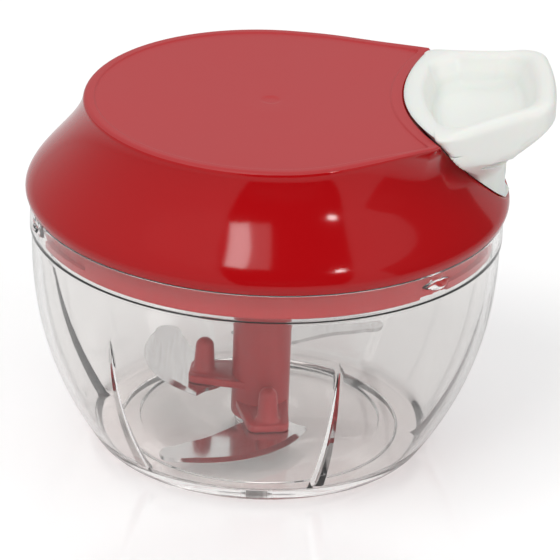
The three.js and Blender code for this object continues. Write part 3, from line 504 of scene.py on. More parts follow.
def moulded_group():
    """The fine unevenness of moulded plastic: a little in colour, gloss and height."""
    tree, source, result = new_group("Moulded Plastic", {
        "Vector": None, "Colour": WHITE, "Roughness": 0.3, "Roughness Spread": 0.04,
        "Colour Spread": 0.05, "Grain Scale": 900.0, "Flow Scale": 35.0,
    }, "Colour", "Roughness", "Height")
    flow = noise(tree, source["Vector"], source["Flow Scale"], 3.0)
    grain = noise(tree, source["Vector"], source["Grain Scale"], 2.0)
    centred = maths(tree, "SUBTRACT", flow, 0.5)
    spread = maths(tree, "MULTIPLY", centred, source["Roughness Spread"])
    value = maths(tree, "MULTIPLY", centred, source["Colour Spread"])
    feed(
        result, Colour=shaded(tree, source, maths(tree, "ADD", value, 1.0)),
        Roughness=maths(tree, "ADD", source["Roughness"], spread), Height=grain,
    )
    return tree


def brushed_group():
    """Steel with the fine parallel lines of a brush or a grinding wheel."""
    tree, source, result = new_group("Brushed Steel", {
        "Vector": None, "Colour": WHITE, "Roughness": 0.25, "Roughness Spread": 0.15,
        "Line Scale": 1500.0, "Line Stretch": (1.0, 0.04, 1.0),
    }, "Colour", "Roughness", "Height")
    stretch = add_node(tree, "ShaderNodeVectorMath", operation="MULTIPLY")
    feed(stretch, source["Vector"], source["Line Stretch"])
    lines = noise(tree, stretch.outputs["Vector"], source["Line Scale"], 4.0)
    centred = maths(tree, "SUBTRACT", lines, 0.5)
    spread = maths(tree, "MULTIPLY", centred, source["Roughness Spread"])
    value = maths(tree, "MULTIPLY", centred, 0.3)
    feed(
        result, Colour=shaded(tree, source, maths(tree, "ADD", value, 1.0)),
        Roughness=maths(tree, "ADD", source["Roughness"], spread), Height=lines,
    )
    return tree


def braid_group():
    """Crossing strands of a braided cord."""
    tree, source, result = new_group("Braided Cord", {
        "Vector": None, "Colour": WHITE, "Strand Scale": 420.0, "Depth": 0.35,
    }, "Colour", "Height")
    heights = []
    for lean in (0.8, -0.8):
        turn = add_node(tree, "ShaderNodeVectorRotate", rotation_type="Z_AXIS")
        feed(turn, Vector=source["Vector"], Angle=lean)
        wave = add_node(tree, "ShaderNodeTexWave", wave_type="BANDS", bands_direction="X")
        feed(wave, Vector=turn.outputs["Vector"], Scale=source["Strand Scale"])
        heights.append(wave.outputs["Fac"])
    height = maths(tree, "MAXIMUM", *heights)
    dip = maths(tree, "MULTIPLY", maths(tree, "SUBTRACT", height, 1.0), source["Depth"])
    feed(result, Colour=shaded(tree, source, maths(tree, "ADD", dip, 1.0)), Height=height)
    return tree


def shared(name, make):
    return bpy.data.node_groups.get(name) or make()


def new_material(name):
    """An empty material: its node tree, its Principled node and its output node."""
    material = bpy.data.materials.new(name)
    material.use_nodes = True
    tree = material.node_tree
    tree.nodes.clear()
    principled = add_node(tree, "ShaderNodeBsdfPrincipled")
    output = feed(add_node(tree, "ShaderNodeOutputMaterial"), Surface=principled.outputs["BSDF"])
    return material, tree, principled, output


def fit_group(tree, principled, group, values, bump, depth):
    """Places a shared group on Object coordinates and wires it to the Principled node."""
    place = add_node(tree, "ShaderNodeTexCoord").outputs["Object"]
    pattern = feed(add_node(tree, "ShaderNodeGroup", node_tree=group), Vector=place, **values)
    feed(principled, Base_Color=pattern.outputs["Colour"])
    if "Roughness" in pattern.outputs:
        feed(principled, Roughness=pattern.outputs["Roughness"])
    if bump:
        relief = add_node(tree, "ShaderNodeBump")
        feed(relief, Strength=bump, Distance=depth * MM, Height=pattern.outputs["Height"])
        feed(principled, Normal=relief.outputs["Normal"])


def plastic(name, tint, roughness, bump=0.05, depth=0.02, spread=0.04, specular=0.5, **sockets):
    """Opaque moulded plastic."""
    material, tree, principled, _ = new_material(name)
    values = {"Colour": (*tint, 1.0), "Roughness": roughness, "Roughness Spread": spread}
    fit_group(tree, principled, shared("Moulded Plastic", moulded_group), values, bump, depth)
    feed(principled, Specular_IOR_Level=specular, **sockets)
    return material


def steel(name, tint, roughness, stretch=(1.0, 0.04, 1.0), bump=0.06):
    """Bare metal with brushed lines."""
    material, tree, principled, _ = new_material(name)
    values = {"Colour": (*tint, 1.0), "Roughness": roughness, "Line Stretch": stretch}
    fit_group(tree, principled, shared("Brushed Steel", brushed_group), values, bump, 0.02)
    feed(principled, Metallic=1.0)
    return material


def clear_plastic():
    """Clear plastic that casts a light shadow."""
    material, tree, principled, output = new_material("Clear Bowl")
    values = {
        "Colour": (*colours().clear, 1.0), "Roughness": 0.02,
        "Roughness Spread": 0.02, "Colour Spread": 0.0, "Flow Scale": 60.0,
    }
    fit_group(tree, principled, shared("Moulded Plastic", moulded_group), values, 0.0, 0.01)
    feed(principled, Transmission_Weight=1.0, IOR=1.5)
    see_through = feed(add_node(tree, "ShaderNodeBsdfTransparent"), Color=(0.91, 0.88, 0.875, 1.0))
    in_shadow = add_node(tree, "ShaderNodeLightPath").outputs["Is Shadow Ray"]
    mix = add_node(tree, "ShaderNodeMixShader")
    feed(mix, in_shadow, principled.outputs["BSDF"], see_through.outputs["BSDF"])
    feed(output, Surface=mix.outputs["Shader"])
    return material


def cord_material():
    material, tree, principled, _ = new_material("Braided Pull Cord")
    values = {"Colour": (*colours().cord, 1.0)}
    fit_group(tree, principled, shared("Braided Cord", braid_group), values, 0.5, 0.15)
    feed(principled, Roughness=0.85)
    return material


def finish(name):
    """A finish by name, made the first time it is asked for."""
    made = bpy.data.materials.get(name)
    if made:
        return made
    tint = colours()
    makers = {
        "Glossy Red": lambda: plastic(name, tint.side, 0.10, 0.03, 0.02, 0.03, 0.4),
        "Satin Red": lambda: plastic(name, tint.panel, 0.42, 0.08, 0.03, 0.06, 0.5),
        "Hub Red": lambda: plastic(name, tint.hub, 0.32, 0.05, 0.02, 0.06, 0.4),
        # Painted light: a lighter copy of the hub's red for the lid base, standing in for light on its
        # shaded inner skirt.
        "Base Red With Painted Light": lambda: plastic(name, tint.base, 0.32, 0.05, 0.02, 0.06, 0.4),
        "Handle White": lambda: plastic(
            name, tint.white, 0.34, 0.04, 0.02, 0.05, 0.45,
            Subsurface_Weight=0.18, Subsurface_Scale=0.004,
        ),
        "Seal Silicone": lambda: plastic(
            name, tint.silicone, 0.55, 0.05, 0.02, 0.05, 0.4,
            Subsurface_Weight=0.2, Subsurface_Scale=0.002,
        ),
        "Grey Plastic": lambda: plastic(name, (0.16, 0.17, 0.18), 0.45),
        "Blade Steel": lambda: steel(name, tint.steel, 0.14),
        "Plain Steel": lambda: steel(name, (0.66, 0.66, 0.66), 0.38, (1.0, 1.0, 0.05)),
        "Spring Steel": lambda: steel(name, (0.20, 0.21, 0.24), 0.30, (1.0, 1.0, 0.05)),
        "Clear Bowl": clear_plastic,
        "Braided Pull Cord": cord_material,
    }
    return makers[name]()


# Bowl

def bowl_outer(height):
    share = np.clip(np.asarray(height, float) / RIM_BOTTOM, 0, 1)
    return START_RADIUS + (BELLY_RADIUS - START_RADIUS) * (1 - (1 - share) ** BELLY_POWER)


def bowl_profile(wall):
    """The bowl's half section, from the underside's middle to the bottom of the pin's hole."""
    foot_inner = FOOT_RADIUS - FOOT_WIDTH
    inner = RIM_RADIUS - wall
    under = rounded([
        (0, 0, 0), (BOSS_RADIUS, 0, 0.4), (BOSS_RADIUS, FOOT_RECESS, 0.4),
        (foot_inner, FOOT_RECESS, 0.5), (foot_inner, 0, 0.5), (FOOT_RADIUS, 0, 0.7),
        (float(bowl_outer(SIDE_LOW)), SIDE_LOW, 0),
    ])
    heights = SIDE_LOW + (SIDE_HIGH - SIDE_LOW) * np.linspace(0, 1, 38)[1:] ** 1.15
    outside = np.column_stack([bowl_outer(heights), heights])
    band_rows = np.arange(NUB_BOTTOM - 0.8, NUB_TOP + 0.8, 0.3)
    band = [
        *rounded([
            (BELLY_RADIUS, SIDE_HIGH, 0), (BELLY_RADIUS, RIM_BOTTOM, 0.15),
            (RIM_RADIUS, RIM_BOTTOM, 0.25), (RIM_RADIUS, RIM_BOTTOM + 1.4, 0),
        ]),
        *[(RIM_RADIUS, height) for height in band_rows],
        *rounded([
            (RIM_RADIUS, RIM_TOP - 1.2, 0), (RIM_RADIUS, RIM_TOP, 0.5), (inner, RIM_TOP, 0.5),
            (inner, RIM_TOP - 1.2, 0),
        ]),
    ]
    inside_band = [
        *[(inner, height) for height in np.linspace(NUB_TOP + 0.1, NUB_BOTTOM - 0.1, 13)],
        *rounded([
            (inner, RIM_BOTTOM + 1.4, 0), (inner, RIM_BOTTOM + 0.44, 0.3),
            (BELLY_RADIUS - wall, RIM_BOTTOM, 0.3),
            (float(bowl_outer(RIM_BOTTOM - 1.4)) - wall, RIM_BOTTOM - 1.4, 0),
        ]),
    ]
    low, high = FLOOR_TOP + 2.2, RIM_BOTTOM - 1.6
    heights = low + (high - low) * np.linspace(1, 0, 46) ** 1.1
    inside = np.column_stack([bowl_outer(heights) - wall, heights])
    corner = float(bowl_outer(FLOOR_TOP)) - wall
    floor = rounded([
        (float(inside[-1, 0]), float(inside[-1, 1]), 0), (corner, FLOOR_TOP, 2.0),
        (corner - 7.0, FLOOR_TOP, 0),
    ], 6)
    step_radius = FOOT_RADIUS - 10.5
    pin_hole = PIN_RADIUS + 0.1
    middle = rounded([
        (corner - 7.2, FLOOR_TOP, 0), (step_radius, FLOOR_TOP, 0.5),
        (step_radius - FLOOR_STEP, FLOOR_TOP - FLOOR_STEP, 0.5),
        (BOSS_RADIUS + 0.2, FLOOR_TOP - FLOOR_STEP, 0.6), (BOSS_RADIUS, BOSS_TOP, 0.4),
        (pin_hole, BOSS_TOP, 0.15), (pin_hole, PIN_LOW[2] - 0.1, 0), (0, PIN_LOW[2] - 0.1, 0),
    ])
    parts = [under, outside, band, inside_band, inside, floor[1:], middle]
    first_inner = sum(len(part) for part in parts[:4])
    return np.vstack(parts), first_inner, first_inner + len(inside) + len(floor) - 1


def bowl_mesh():
    """The bowl as one skin. Its inner wall folds into V-shaped ribs along its own columns."""
    values = sizes()
    wall = values.bowl_wall / MM
    profile, first_inner, last_inner = bowl_profile(wall)
    per_rib = TURN / RIB_COUNT
    fold = 6 * TURN / COLUMNS
    spread = 20 * TURN / COLUMNS
    angles = RIB_FIRST + np.arange(COLUMNS) * TURN / COLUMNS
    offset = (angles - RIB_FIRST + per_rib / 2) % per_rib - per_rib / 2
    away = np.abs(offset)
    crest = np.clip(1 - away / fold, 0, 1)
    crest[away < fold / 12] = 0.95
    floor_edge = float(bowl_outer(FLOOR_TOP)) - wall
    rings = []
    for index, (radius, height) in enumerate(profile[1:-1], start=1):
        turn = angles
        radii = np.full(COLUMNS, radius)
        if first_inner <= index < last_inner:
            rib_height = RIB_TOP - FLOOR_TOP + FLOOR_STEP
            share = np.clip((height - FLOOR_TOP + FLOOR_STEP) / rib_height, 0, 1)
            hold = float(np.clip((RIM_BOTTOM - 3.0 - height) / 6.0, 0, 1))
            if height < FLOOR_TOP + 0.01:
                hold *= np.clip((radius - floor_edge + 6.5) / 4.5, 0, 1)
            half = (values.rib_half / MM * (1 - share) + 0.25 * share) / radius
            half = fold + (half - fold) * hold
            inside = away * half / fold
            outside = half + (away - fold) * (spread - half) / (spread - fold)
            bent = np.where(away <= fold, inside, np.where(away <= spread, outside, away))
            turn = angles + np.sign(offset) * bent - offset
            radii = radii - values.rib_depth / MM * (1 - share) * crest * min(hold, 1.0)
        if NUB_BOTTOM - 1.0 < height < NUB_TOP + 1.0:
            outer = radius > RIM_RADIUS - wall / 2
            for nub in NUB_ANGLES:
                arc = (angles - nub + math.pi) % TURN - math.pi
                if outer:
                    lift = (height - NUB_MIDDLE) / 1.4
                    ball = np.sqrt(np.clip(1 - (arc * radius / 3.2) ** 2 - lift ** 2, 0, 1))
                    proud = values.lug_proud / MM
                    radii = radii + np.clip(2 * proud * ball - proud, 0, None)
                else:
                    rise = (height - NUB_MIDDLE) / 1.1
                    edge = np.clip(1 - (arc / math.radians(4.6)) ** 2 - rise ** 2, 0, 1)
                    radii = radii - 1.1 * edge
        rings.append(around(radii, turn, height))
    points, faces = shell(rings, (0, 0, profile[0][1]), (0, 0, profile[-1][1]))
    return mesh_object("Clear Bowl", points, faces, finish("Clear Bowl"))


def pin_mesh():
    """The steel spindle pin with its domed top."""
    low, top = PIN_LOW[2], PIN_HIGH[2]
    dome = arc(0, top - PIN_RADIUS, PIN_RADIUS, 0, QUARTER, 12)
    foot = rounded([(0.1, low, 0), (PIN_RADIUS, low, 0.3), (*dome[0], 0)])
    profile = [(0, low), *foot[1:-1], *dome]
    return lathe("Spindle Pin", profile, 48, finish("Plain Steel"))


# Blade hub and blades

def hub_mesh():
    """The hub: a tube on three stacked arms, each with a domed peg and a flattened rivet head."""
    red = finish("Hub Red")
    low, top = HUB_LOW[2], HUB_HIGH[2]
    bore = PIN_RADIUS + 0.2
    bore_top = PIN_HIGH[2] + 1.7
    socket_bottom = top - SOCKET_DEPTH
    profile = rounded([
        (0, bore_top, 0), (bore, bore_top, 0.4), (bore, low, 0.3), (HUB_RADIUS, low, 0.8),
        (HUB_RADIUS, top, 0.6), (SOCKET_RADIUS, top, 0.4), (SOCKET_RADIUS, socket_bottom, 0.4),
        (0, socket_bottom, 0),
    ])
    hub = lathe("Blade Hub", profile, 96, red)
    for arm_top, angle in zip(ARM_TOPS, ARM_ANGLES):
        bottom = arm_top - ARM_THICKNESS
        corner = 2.5
        side = arc(PEG_REACH + 3.8 - corner, 5.5 - corner, corner, 0, QUARTER, 9)
        other = [(x, -y) for x, y in side[::-1]]
        plan = [(bore + 0.6, -6.9), *other, *side, (bore + 0.6, 6.9)]
        arm = soften(prism("Arm", plan, bottom, arm_top, red), 0.35, 3)
        carve(hub, move(arm, angle), "UNION")
        head_top = bottom - 1.2
        dome = arc(0, arm_top + PEG_HEIGHT - PEG_RADIUS, PEG_RADIUS, 0, QUARTER, 10)
        peg = [
            (0, head_top - 0.9), (2.2, head_top - 0.9), (2.7, head_top - 0.7), (3.0, head_top - 0.3),
            (3.0, head_top), (1.6, head_top), (1.6, bottom + 0.2), (2.75, bottom + 0.2),
            (3.6, arm_top - 0.05), (3.15, arm_top + 0.25), (2.8, arm_top + 0.8),
            *dome,
        ]
        post = lathe("Peg", peg, 48, red)
        x, y = PEG_REACH * math.cos(angle), PEG_REACH * math.sin(angle)
        carve(hub, move(post, 0.0, (x, y, 0)), "UNION")
    for k in range(3):
        plan = [(3.6, -1.1), (6.6, -1.1), (6.6, 1.1), (3.6, 1.1)]
        key = soften(prism("Key", plan, socket_bottom - 0.3, top - 1.0, red), 0.2, 2)
        carve(hub, move(key, TURN * (k + 0.5) / 3), "UNION")
    return hub


def blade_outline(inset, steps=40):
    """The plan of a blade with its peg along +X; the cutting arc is drawn in by inset."""
    values = sizes()
    lowest = ARM_TOPS[0] - 3.0
    reach_out = float(bowl_outer(lowest)) - (values.bowl_wall + values.rib_depth) / MM - 1.9
    lean = math.radians(-40.8)
    tip = np.array([math.cos(lean), math.sin(lean)]) * reach_out
    tail = np.array([15.8, 10.3])
    edge_radius, nose_radius = 29.5, 3.5
    chord = np.linalg.norm(tip - tail)
    rise = math.sqrt(edge_radius ** 2 - (chord / 2) ** 2)
    along = (tip - tail) / chord
    centre = (tip + tail) / 2 + np.array([along[1], -along[0]]) * rise
    start = math.atan2(*(tail - centre)[::-1])
    end = math.atan2(*(tip - centre)[::-1])
    shares = np.linspace(0, 1, steps + 1)
    angles = start + (end - start) * shares
    radii = edge_radius - inset * np.clip(np.sin(math.pi * shares) * 2.2, 0, 1)
    edge = centre + np.column_stack([np.cos(angles), np.sin(angles)]) * radii[:, None]
    turn = np.radians(np.linspace(-20, -190, 17))
    middle = tip - nose_radius * np.array([math.cos(turn[0]), math.sin(turn[0])])
    nose = middle + nose_radius * np.column_stack([np.cos(turn), np.sin(turn)])
    back = smooth_line([
        nose[-1], [22.6, -22.0], [20.4, -16.8], [16.6, -11.6], [13.3, -7.6],
        [10.8, -3.8], [9.3, 0.0], [10.2, 3.8], [12.6, 6.4], [14.0, 7.4], [15.0, 9.0],
    ], 5)
    return np.vstack([edge, nose[1:-1], back])


def smooth_line(points, steps):
    """A Catmull-Rom line through points, open at both ends."""
    points = np.asarray(points, float)
    padded = np.vstack([2 * points[0] - points[1], points, 2 * points[-1] - points[-2]])
    line = []
    for i in range(1, len(padded) - 2):
        a, b, c, d = padded[i - 1:i + 3]
        for k in range(steps):
            t = k / steps
            line.append(0.5 * (2 * b + (c - a) * t + (2 * a - 5 * b + 4 * c - d) * t ** 2
                               + (3 * b - a - 3 * c + d) * t ** 3))
    return np.vstack([line, points[-1:]])


def blade_mesh(index, node):
    values = sizes()
    thickness, bevel = values.blade_thickness / MM, values.blade_bevel / MM
    low, high = box(node)
    outer = blade_outline(0.0)
    count = len(outer)
    bottom = high[2] - thickness
    points = np.vstack([
        np.column_stack([blade_outline(bevel / 3), np.full(count, bottom)]),
        np.column_stack([outer, np.full(count, bottom + 0.2)]),
        np.column_stack([outer, np.full(count, bottom + 0.32)]),
        np.column_stack([blade_outline(bevel), np.full(count, high[2])]),
    ])
    faces = [tuple(range(count - 1, -1, -1)), tuple(range(3 * count, 4 * count))]
    for row in range(3):
        here, above = row * count, (row + 1) * count
        for k in range(count):
            n = (k + 1) % count
            faces.append((here + k, here + n, above + n, above + k))
    blade = mesh_object(node.replace("_", " ").title(), points, faces, finish("Blade Steel"))
    hole = lathe("Hole", [(0, low[2] - 1), (1.7, low[2] - 1), (1.7, high[2] + 1), (0, high[2] + 1)], 32)
    carve(blade, move(hole, 0.0, (PEG_REACH, 0, 0)))
    return move(blade, ARM_ANGLES[index])


# Lid housing

def lid_curve(count=400):
    """The lid's half section from the skirt to the top, as radius and height along its run."""
    t = np.linspace(0, 1, 200)[:, None]
    ends = np.array([
        (BULGE_RADIUS, BULGE_HEIGHT), (BULGE_RADIUS, BULGE_HEIGHT + 4.7),
        (WAIST_RADIUS, CROWN_HEIGHT - 10.0), (CROWN_RADIUS, CROWN_HEIGHT),
    ])
    dome = (ends[0] * (1 - t) ** 3 + ends[1] * 3 * t * (1 - t) ** 2
            + ends[2] * 3 * t ** 2 * (1 - t) + ends[3] * t ** 3)
    crown = arc(CROWN_RADIUS - CROWN_ROUND, CROWN_HEIGHT, CROWN_ROUND, 0, QUARTER, 24)[1:]
    start = np.linspace(0, 1, 8)[:-1, None]
    low = np.array([SKIRT_RADIUS, SKIRT_EDGE + 0.4])
    skirt = low + (np.array([BULGE_RADIUS, BULGE_HEIGHT]) - low) * start
    skirt[:, 0] = SKIRT_RADIUS + (BULGE_RADIUS - SKIRT_RADIUS) * np.sin(start[:, 0] * QUARTER)
    path = np.vstack([skirt, dome, crown])
    run = np.concatenate([[0], np.cumsum(np.linalg.norm(np.diff(path, axis=0), axis=1))])
    even = np.linspace(0, run[-1], count)
    return even, np.interp(even, run, path[:, 0]), np.interp(even, run, path[:, 1])


RUN, RUN_RADIUS, RUN_HEIGHT = lid_curve()
WING_LEAN = WING_ANGLE - CORNER_ANGLE
WING_FLARE = CROWN_RADIUS * (1 / math.cos(WING_LEAN) - 1)


def wing_flare(angles):
    off = np.abs((angles + math.pi) % TURN - math.pi)
    lean = np.clip(WING_ANGLE - np.maximum(off, CORNER_ANGLE), 0, None)
    return CROWN_RADIUS * (1 / np.cos(lean) - 1)


def notch_radius(angles, heights, shift=0.0):
    """How far out the notch surface lies at each angle and height; very far where it has none."""
    lean = np.cos(angles) + NOTCH_SKEW * np.sin(angles)
    bend = np.maximum(np.sin(angles) ** 2 / NOTCH_BEND, 1e-9)
    face = NOTCH_FACE + shift + (LID_TOP - heights) * NOTCH_SLOPE
    inside = lean ** 2 - 4 * bend * face
    root = (lean - np.sqrt(np.clip(inside, 0, None))) / (2 * bend)
    return np.where((lean > 0.05) & (inside > 0), root, 1e5)


def lifted(points):
    """Raises the lid's top and the grip a little towards the grip's end."""
    points = np.array(points, float)
    out = np.clip((points[:, 0] - 5.0) / 35.0, 0, 1)
    up = np.clip((points[:, 2] - LID_TOP + 12.0) / 10.0, 0, 1)
    points[:, 2] += HANDLE_LIFT * eased(out) * eased(up)
    return points


def soft_least(a, b, ease):
    return -ease * np.logaddexp(-np.asarray(a) / ease, -np.asarray(b) / ease)


def lid_dome(angles, run):
    """Radius and height of the uncut dome, flared towards its two corners."""
    radius = np.interp(run, RUN, RUN_RADIUS)
    height = np.interp(run, RUN, RUN_HEIGHT)
    flare = wing_flare(angles)
    share = np.clip((height - WING_START) / (LID_TOP - WING_START), 0, None) ** 2
    return radius + flare * share, height + WING_RISE * flare / WING_FLARE * share


def lid_surface(angles, run):
    radius, height = lid_dome(angles, run)
    return np.minimum(radius, notch_radius(angles, height)), height


def top_height(radius):
    """The top's height, which lifts a little out on the two corners."""
    out = np.clip((radius - CROWN_RADIUS) / WING_FLARE, 0, 1)
    return LID_TOP + WING_RISE * out


def between(first, last, count, inner=True):
    """Shares from first to last; inner leaves both ends out."""
    values = np.linspace(first, last, count + 2)
    return values[1:-1] if inner else values


def curve_rows(start, corner, end, count):
    """Rows of a quadratic curve between rows given as (radius, height)."""
    rows = []
    for t in between(0, 1, count, inner=False):
        rows.append(tuple(s * (1 - t) ** 2 + c * 2 * t * (1 - t) + e * t ** 2
                          for s, c, e in zip(start, corner, end)))
    return rows


def corner_angle(side):
    """The angle at which the flared top edge meets the notch on a side, given as 1 or -1."""
    low, high = math.radians(20) * side, math.radians(60) * side
    for _ in range(40):
        middle = np.array([(low + high) / 2])
        edge = CROWN_RADIUS - EDGE_INSET + wing_flare(middle)
        if notch_radius(middle, np.array([LID_TOP + WING_RISE])) < edge:
            low = float(middle[0])
        else:
            high = float(middle[0])
    return low


def notch_crossing(angles, last):
    """How far along the dome's run the notch cuts in, at each angle."""
    low, high = np.zeros(COLUMNS), np.full(COLUMNS, last - 2.5 * NOTCH_EASE)
    for _ in range(40):
        middle = (low + high) / 2
        radius, height = lid_dome(angles, middle)
        cut = radius > notch_radius(angles, height)
        high = np.where(cut, middle, high)
        low = np.where(cut, low, middle)
    return (low + high) / 2


def lid_sides(angles):
    """Rows of the dome and the notch, from under the skirt to just below the top's edge."""
    last = float(np.interp(LID_TOP - 0.6, RUN_HEIGHT, RUN))
    crossing = notch_crossing(angles, last)
    before, after = crossing - NOTCH_EASE, crossing + NOTCH_EASE
    corner = (SKIRT_RADIUS - 0.4, SKIRT_EDGE)
    rows = curve_rows((SKIRT_INNER + 0.6, SKIRT_EDGE), (SKIRT_RADIUS - 0.6, SKIRT_EDGE), corner, 0)
    rows += curve_rows(corner, (SKIRT_RADIUS, SKIRT_EDGE), lid_surface(angles, 0.0), 3)[1:]
    rows += [lid_surface(angles, before * share) for share in between(0, 1, 52)]
    rows += curve_rows(*(lid_surface(angles, run) for run in (before, crossing, after)), 3)
    rows += [lid_surface(angles, after + (last - after) * share) for share in between(0, 1, 26)]
    return rows, lid_surface(angles, last)


def lid_top(angles, side_end, bead, panel):
    """Rows of the rounded top edge, the raised border, the recessed panel and its middle dip."""
    flare = wing_flare(angles)
    edge = np.minimum(
        CROWN_RADIUS - EDGE_INSET + flare,
        notch_radius(angles, LID_TOP + WING_RISE * flare / WING_FLARE),
    )
    start = edge - 0.7
    rows = curve_rows(side_end, (edge, top_height(edge)), (start, top_height(start)), 5)
    border = soft_least(CROWN_RADIUS + flare - bead, notch_radius(angles, LID_TOP, -bead), 0.9)
    for share in between(0, 1, 3):
        radius = start + (border + 0.5 - start) * share
        rows.append((radius, top_height(radius)))
    step = (border, (LID_TOP + panel) / 2)
    outer = border + 0.5
    rows += curve_rows((outer, top_height(outer)), (border + 0.1, top_height(border)), step, 2)
    rows += curve_rows(step, (border - 0.1, panel), (border - 0.5, panel), 2)[1:]
    for share in (0.97, 0.9, 0.8, 0.7, 0.6, 0.5, 0.4, 0.3, 0.2):
        blend = np.clip((share - 0.25) / 0.6, 0, 1)
        radius = (border - 0.5) * share * blend + (CROWN_RADIUS - bead) * share * (1 - blend)
        rows.append((np.minimum(radius, (border - 0.5) * 0.99), panel))
    dip = ((3.2, 0.0), (2.6, 0.02), (2.2, 0.14), (1.7, 0.24), (1.0, PANEL_DIP))
    return rows + [(radius, panel - drop) for radius, drop in dip]


def lid_inside(angles, wall, ceiling):
    """Rows of the inner wall, from the skirt up to the middle of the ceiling."""
    shift = -wall * math.hypot(1, NOTCH_SLOPE)
    rows = [(SKIRT_INNER, SKIRT_EDGE + 0.5)]
    for height in np.linspace(SKIRT_BOTTOM + 1.5, ceiling - 1.0, 26):
        radius = np.interp(height + 0.63, RUN_HEIGHT, RUN_RADIUS) - wall
        radius = SKIRT_INNER if height < PLATE_TOP else radius
        rows.append((soft_least(radius, notch_radius(angles, height, shift), 0.6), height))
    shoulder = rows[-1][0]
    rows += curve_rows(rows[-1], (shoulder - 0.4, ceiling), (shoulder - 1.6, ceiling), 3)[1:]
    return rows + [((shoulder - 1.6) * share, ceiling) for share in (0.85, 0.65, 0.45, 0.25, 0.1)]


def lid_mesh():
    """The lid's housing: dome, leaning notch, beaded top panel and inner wall, in one skin."""
    values = sizes()
    wall, bead, recess = values.lid_wall / MM, values.bead_width / MM, values.panel_recess / MM
    angles = np.arange(COLUMNS) * TURN / COLUMNS
    for side in (1, -1):
        tip = corner_angle(side) % TURN
        angles[round(tip / TURN * COLUMNS)] = tip
    panel, ceiling = LID_TOP - recess, LID_TOP - recess - wall
    glossy, side_end = lid_sides(angles)
    inside = lid_inside(angles, wall, ceiling)[::-1]
    rows = inside + glossy + lid_top(angles, side_end, bead, panel)
    rings = [lifted(around(radius, angles, height)) for radius, height in rows]
    points, faces = shell(rings, (0, 0, ceiling), (0, 0, panel - PANEL_DIP))
    lid = mesh_object("Lid Housing", points, faces, finish("Glossy Red"), finish("Satin Red"))
    satin_from = (len(inside) + len(glossy)) * COLUMNS
    satin = [int(min(face.vertices) >= satin_from) for face in lid.data.polygons]
    lid.data.polygons.foreach_set("material_index", satin)
    return drill_guide(lid)


def bar(name, radius, start, end, segments=48, *materials, bevel=0.0):
    """A round bar along +X at the cord's height."""
    profile = rounded([(0, start, 0), (radius, start, bevel), (radius, end, bevel), (0, end, 0)])
    made = lathe(name, profile, segments, *materials)
    return move(made, 0.0, (0, 0, CORD_HEIGHT), Matrix.Rotation(QUARTER, 4, "Y"))


def drill_guide(lid):
    """Adds the cord guide behind the notch wall, the screw bosses and the axle boss."""
    glossy = finish("Glossy Red")
    guide_start = EYELET_LOW[0] + 1.2
    carve(lid, bar("Guide", 5.4, guide_start, 50.0, 48, glossy, bevel=0.3), "UNION")
    carve(lid, bar("Guide Hole", EYELET_RADIUS + 0.1, guide_start - 1.0, KEEL_OUTER))
    ceiling = LID_TOP - 2.6
    bosses = []
    for spot in SCREW_SPOTS:
        top = ceiling + 0.2 + (0.8 * HANDLE_LIFT if spot[0] * SCREW_X > 0 else 0.0)
        bosses.append(move(tube("Boss", 1.6, 3.8, PLATE_TOP + 0.3, top, 32, glossy), 0.0, spot))
    bosses.append(tube("Axle Boss", 3.1, 6.0, 87.4, ceiling + 0.2, 32, glossy))
    return carve(lid, merge(*bosses), "UNION")


def tube(name, inner, outer, low, high, segments, *materials):
    return lathe(
        name, [(inner, low), (outer, low), (outer, high), (inner, high)], segments, *materials, loop=True
    )


# Lid base, seal, screws, eyelet and plug

def sector_block(name, inner, outer, low, high, start, end):
    steps = max(3, int(end - start))
    plan = np.array(arc(0, 0, 1, math.radians(start), math.radians(end), steps))
    return prism(name, np.vstack([plan * outer, plan[::-1] * inner]), low, high)


def new_tree(name, inputs):
    """A Geometry Nodes tree with named numbers and a material as inputs, and their sockets."""
    tree = bpy.data.node_groups.new(name, "GeometryNodeTree")
    for label, value in inputs.items():
        kind = "NodeSocketInt" if isinstance(value, int) else "NodeSocketFloat"
        socket = tree.interface.new_socket(name=label, in_out="INPUT", socket_type=kind)
        socket.default_value = value
    tree.interface.new_socket(name="Material", in_out="INPUT", socket_type="NodeSocketMaterial")
    tree.interface.new_socket(name="Geometry", in_out="OUTPUT", socket_type="NodeSocketGeometry")
    return tree, add_node(tree, "NodeGroupInput").outputs


def end_tree(tree, geometry, material):
    """Ends a tree in real geometry that carries its material."""
    real = feed(add_node(tree, "GeometryNodeRealizeInstances"), geometry).outputs[0]
    paint = feed(add_node(tree, "GeometryNodeSetMaterial"), Geometry=real, Material=material)
    feed(add_node(tree, "NodeGroupOutput"), paint.outputs[0])
    return tree


def form(tree, kind, **sockets):
    """The geometry that a node makes from its named inputs."""
    return feed(add_node(tree, "GeometryNode" + kind), **sockets).outputs[0]


def raised(tree, geometry, height, **turn):
    """Geometry moved up by a height, and turned where a rotation is given."""
    return form(tree, "Transform", Geometry=geometry, Translation=vector(tree, Z=height), **turn)


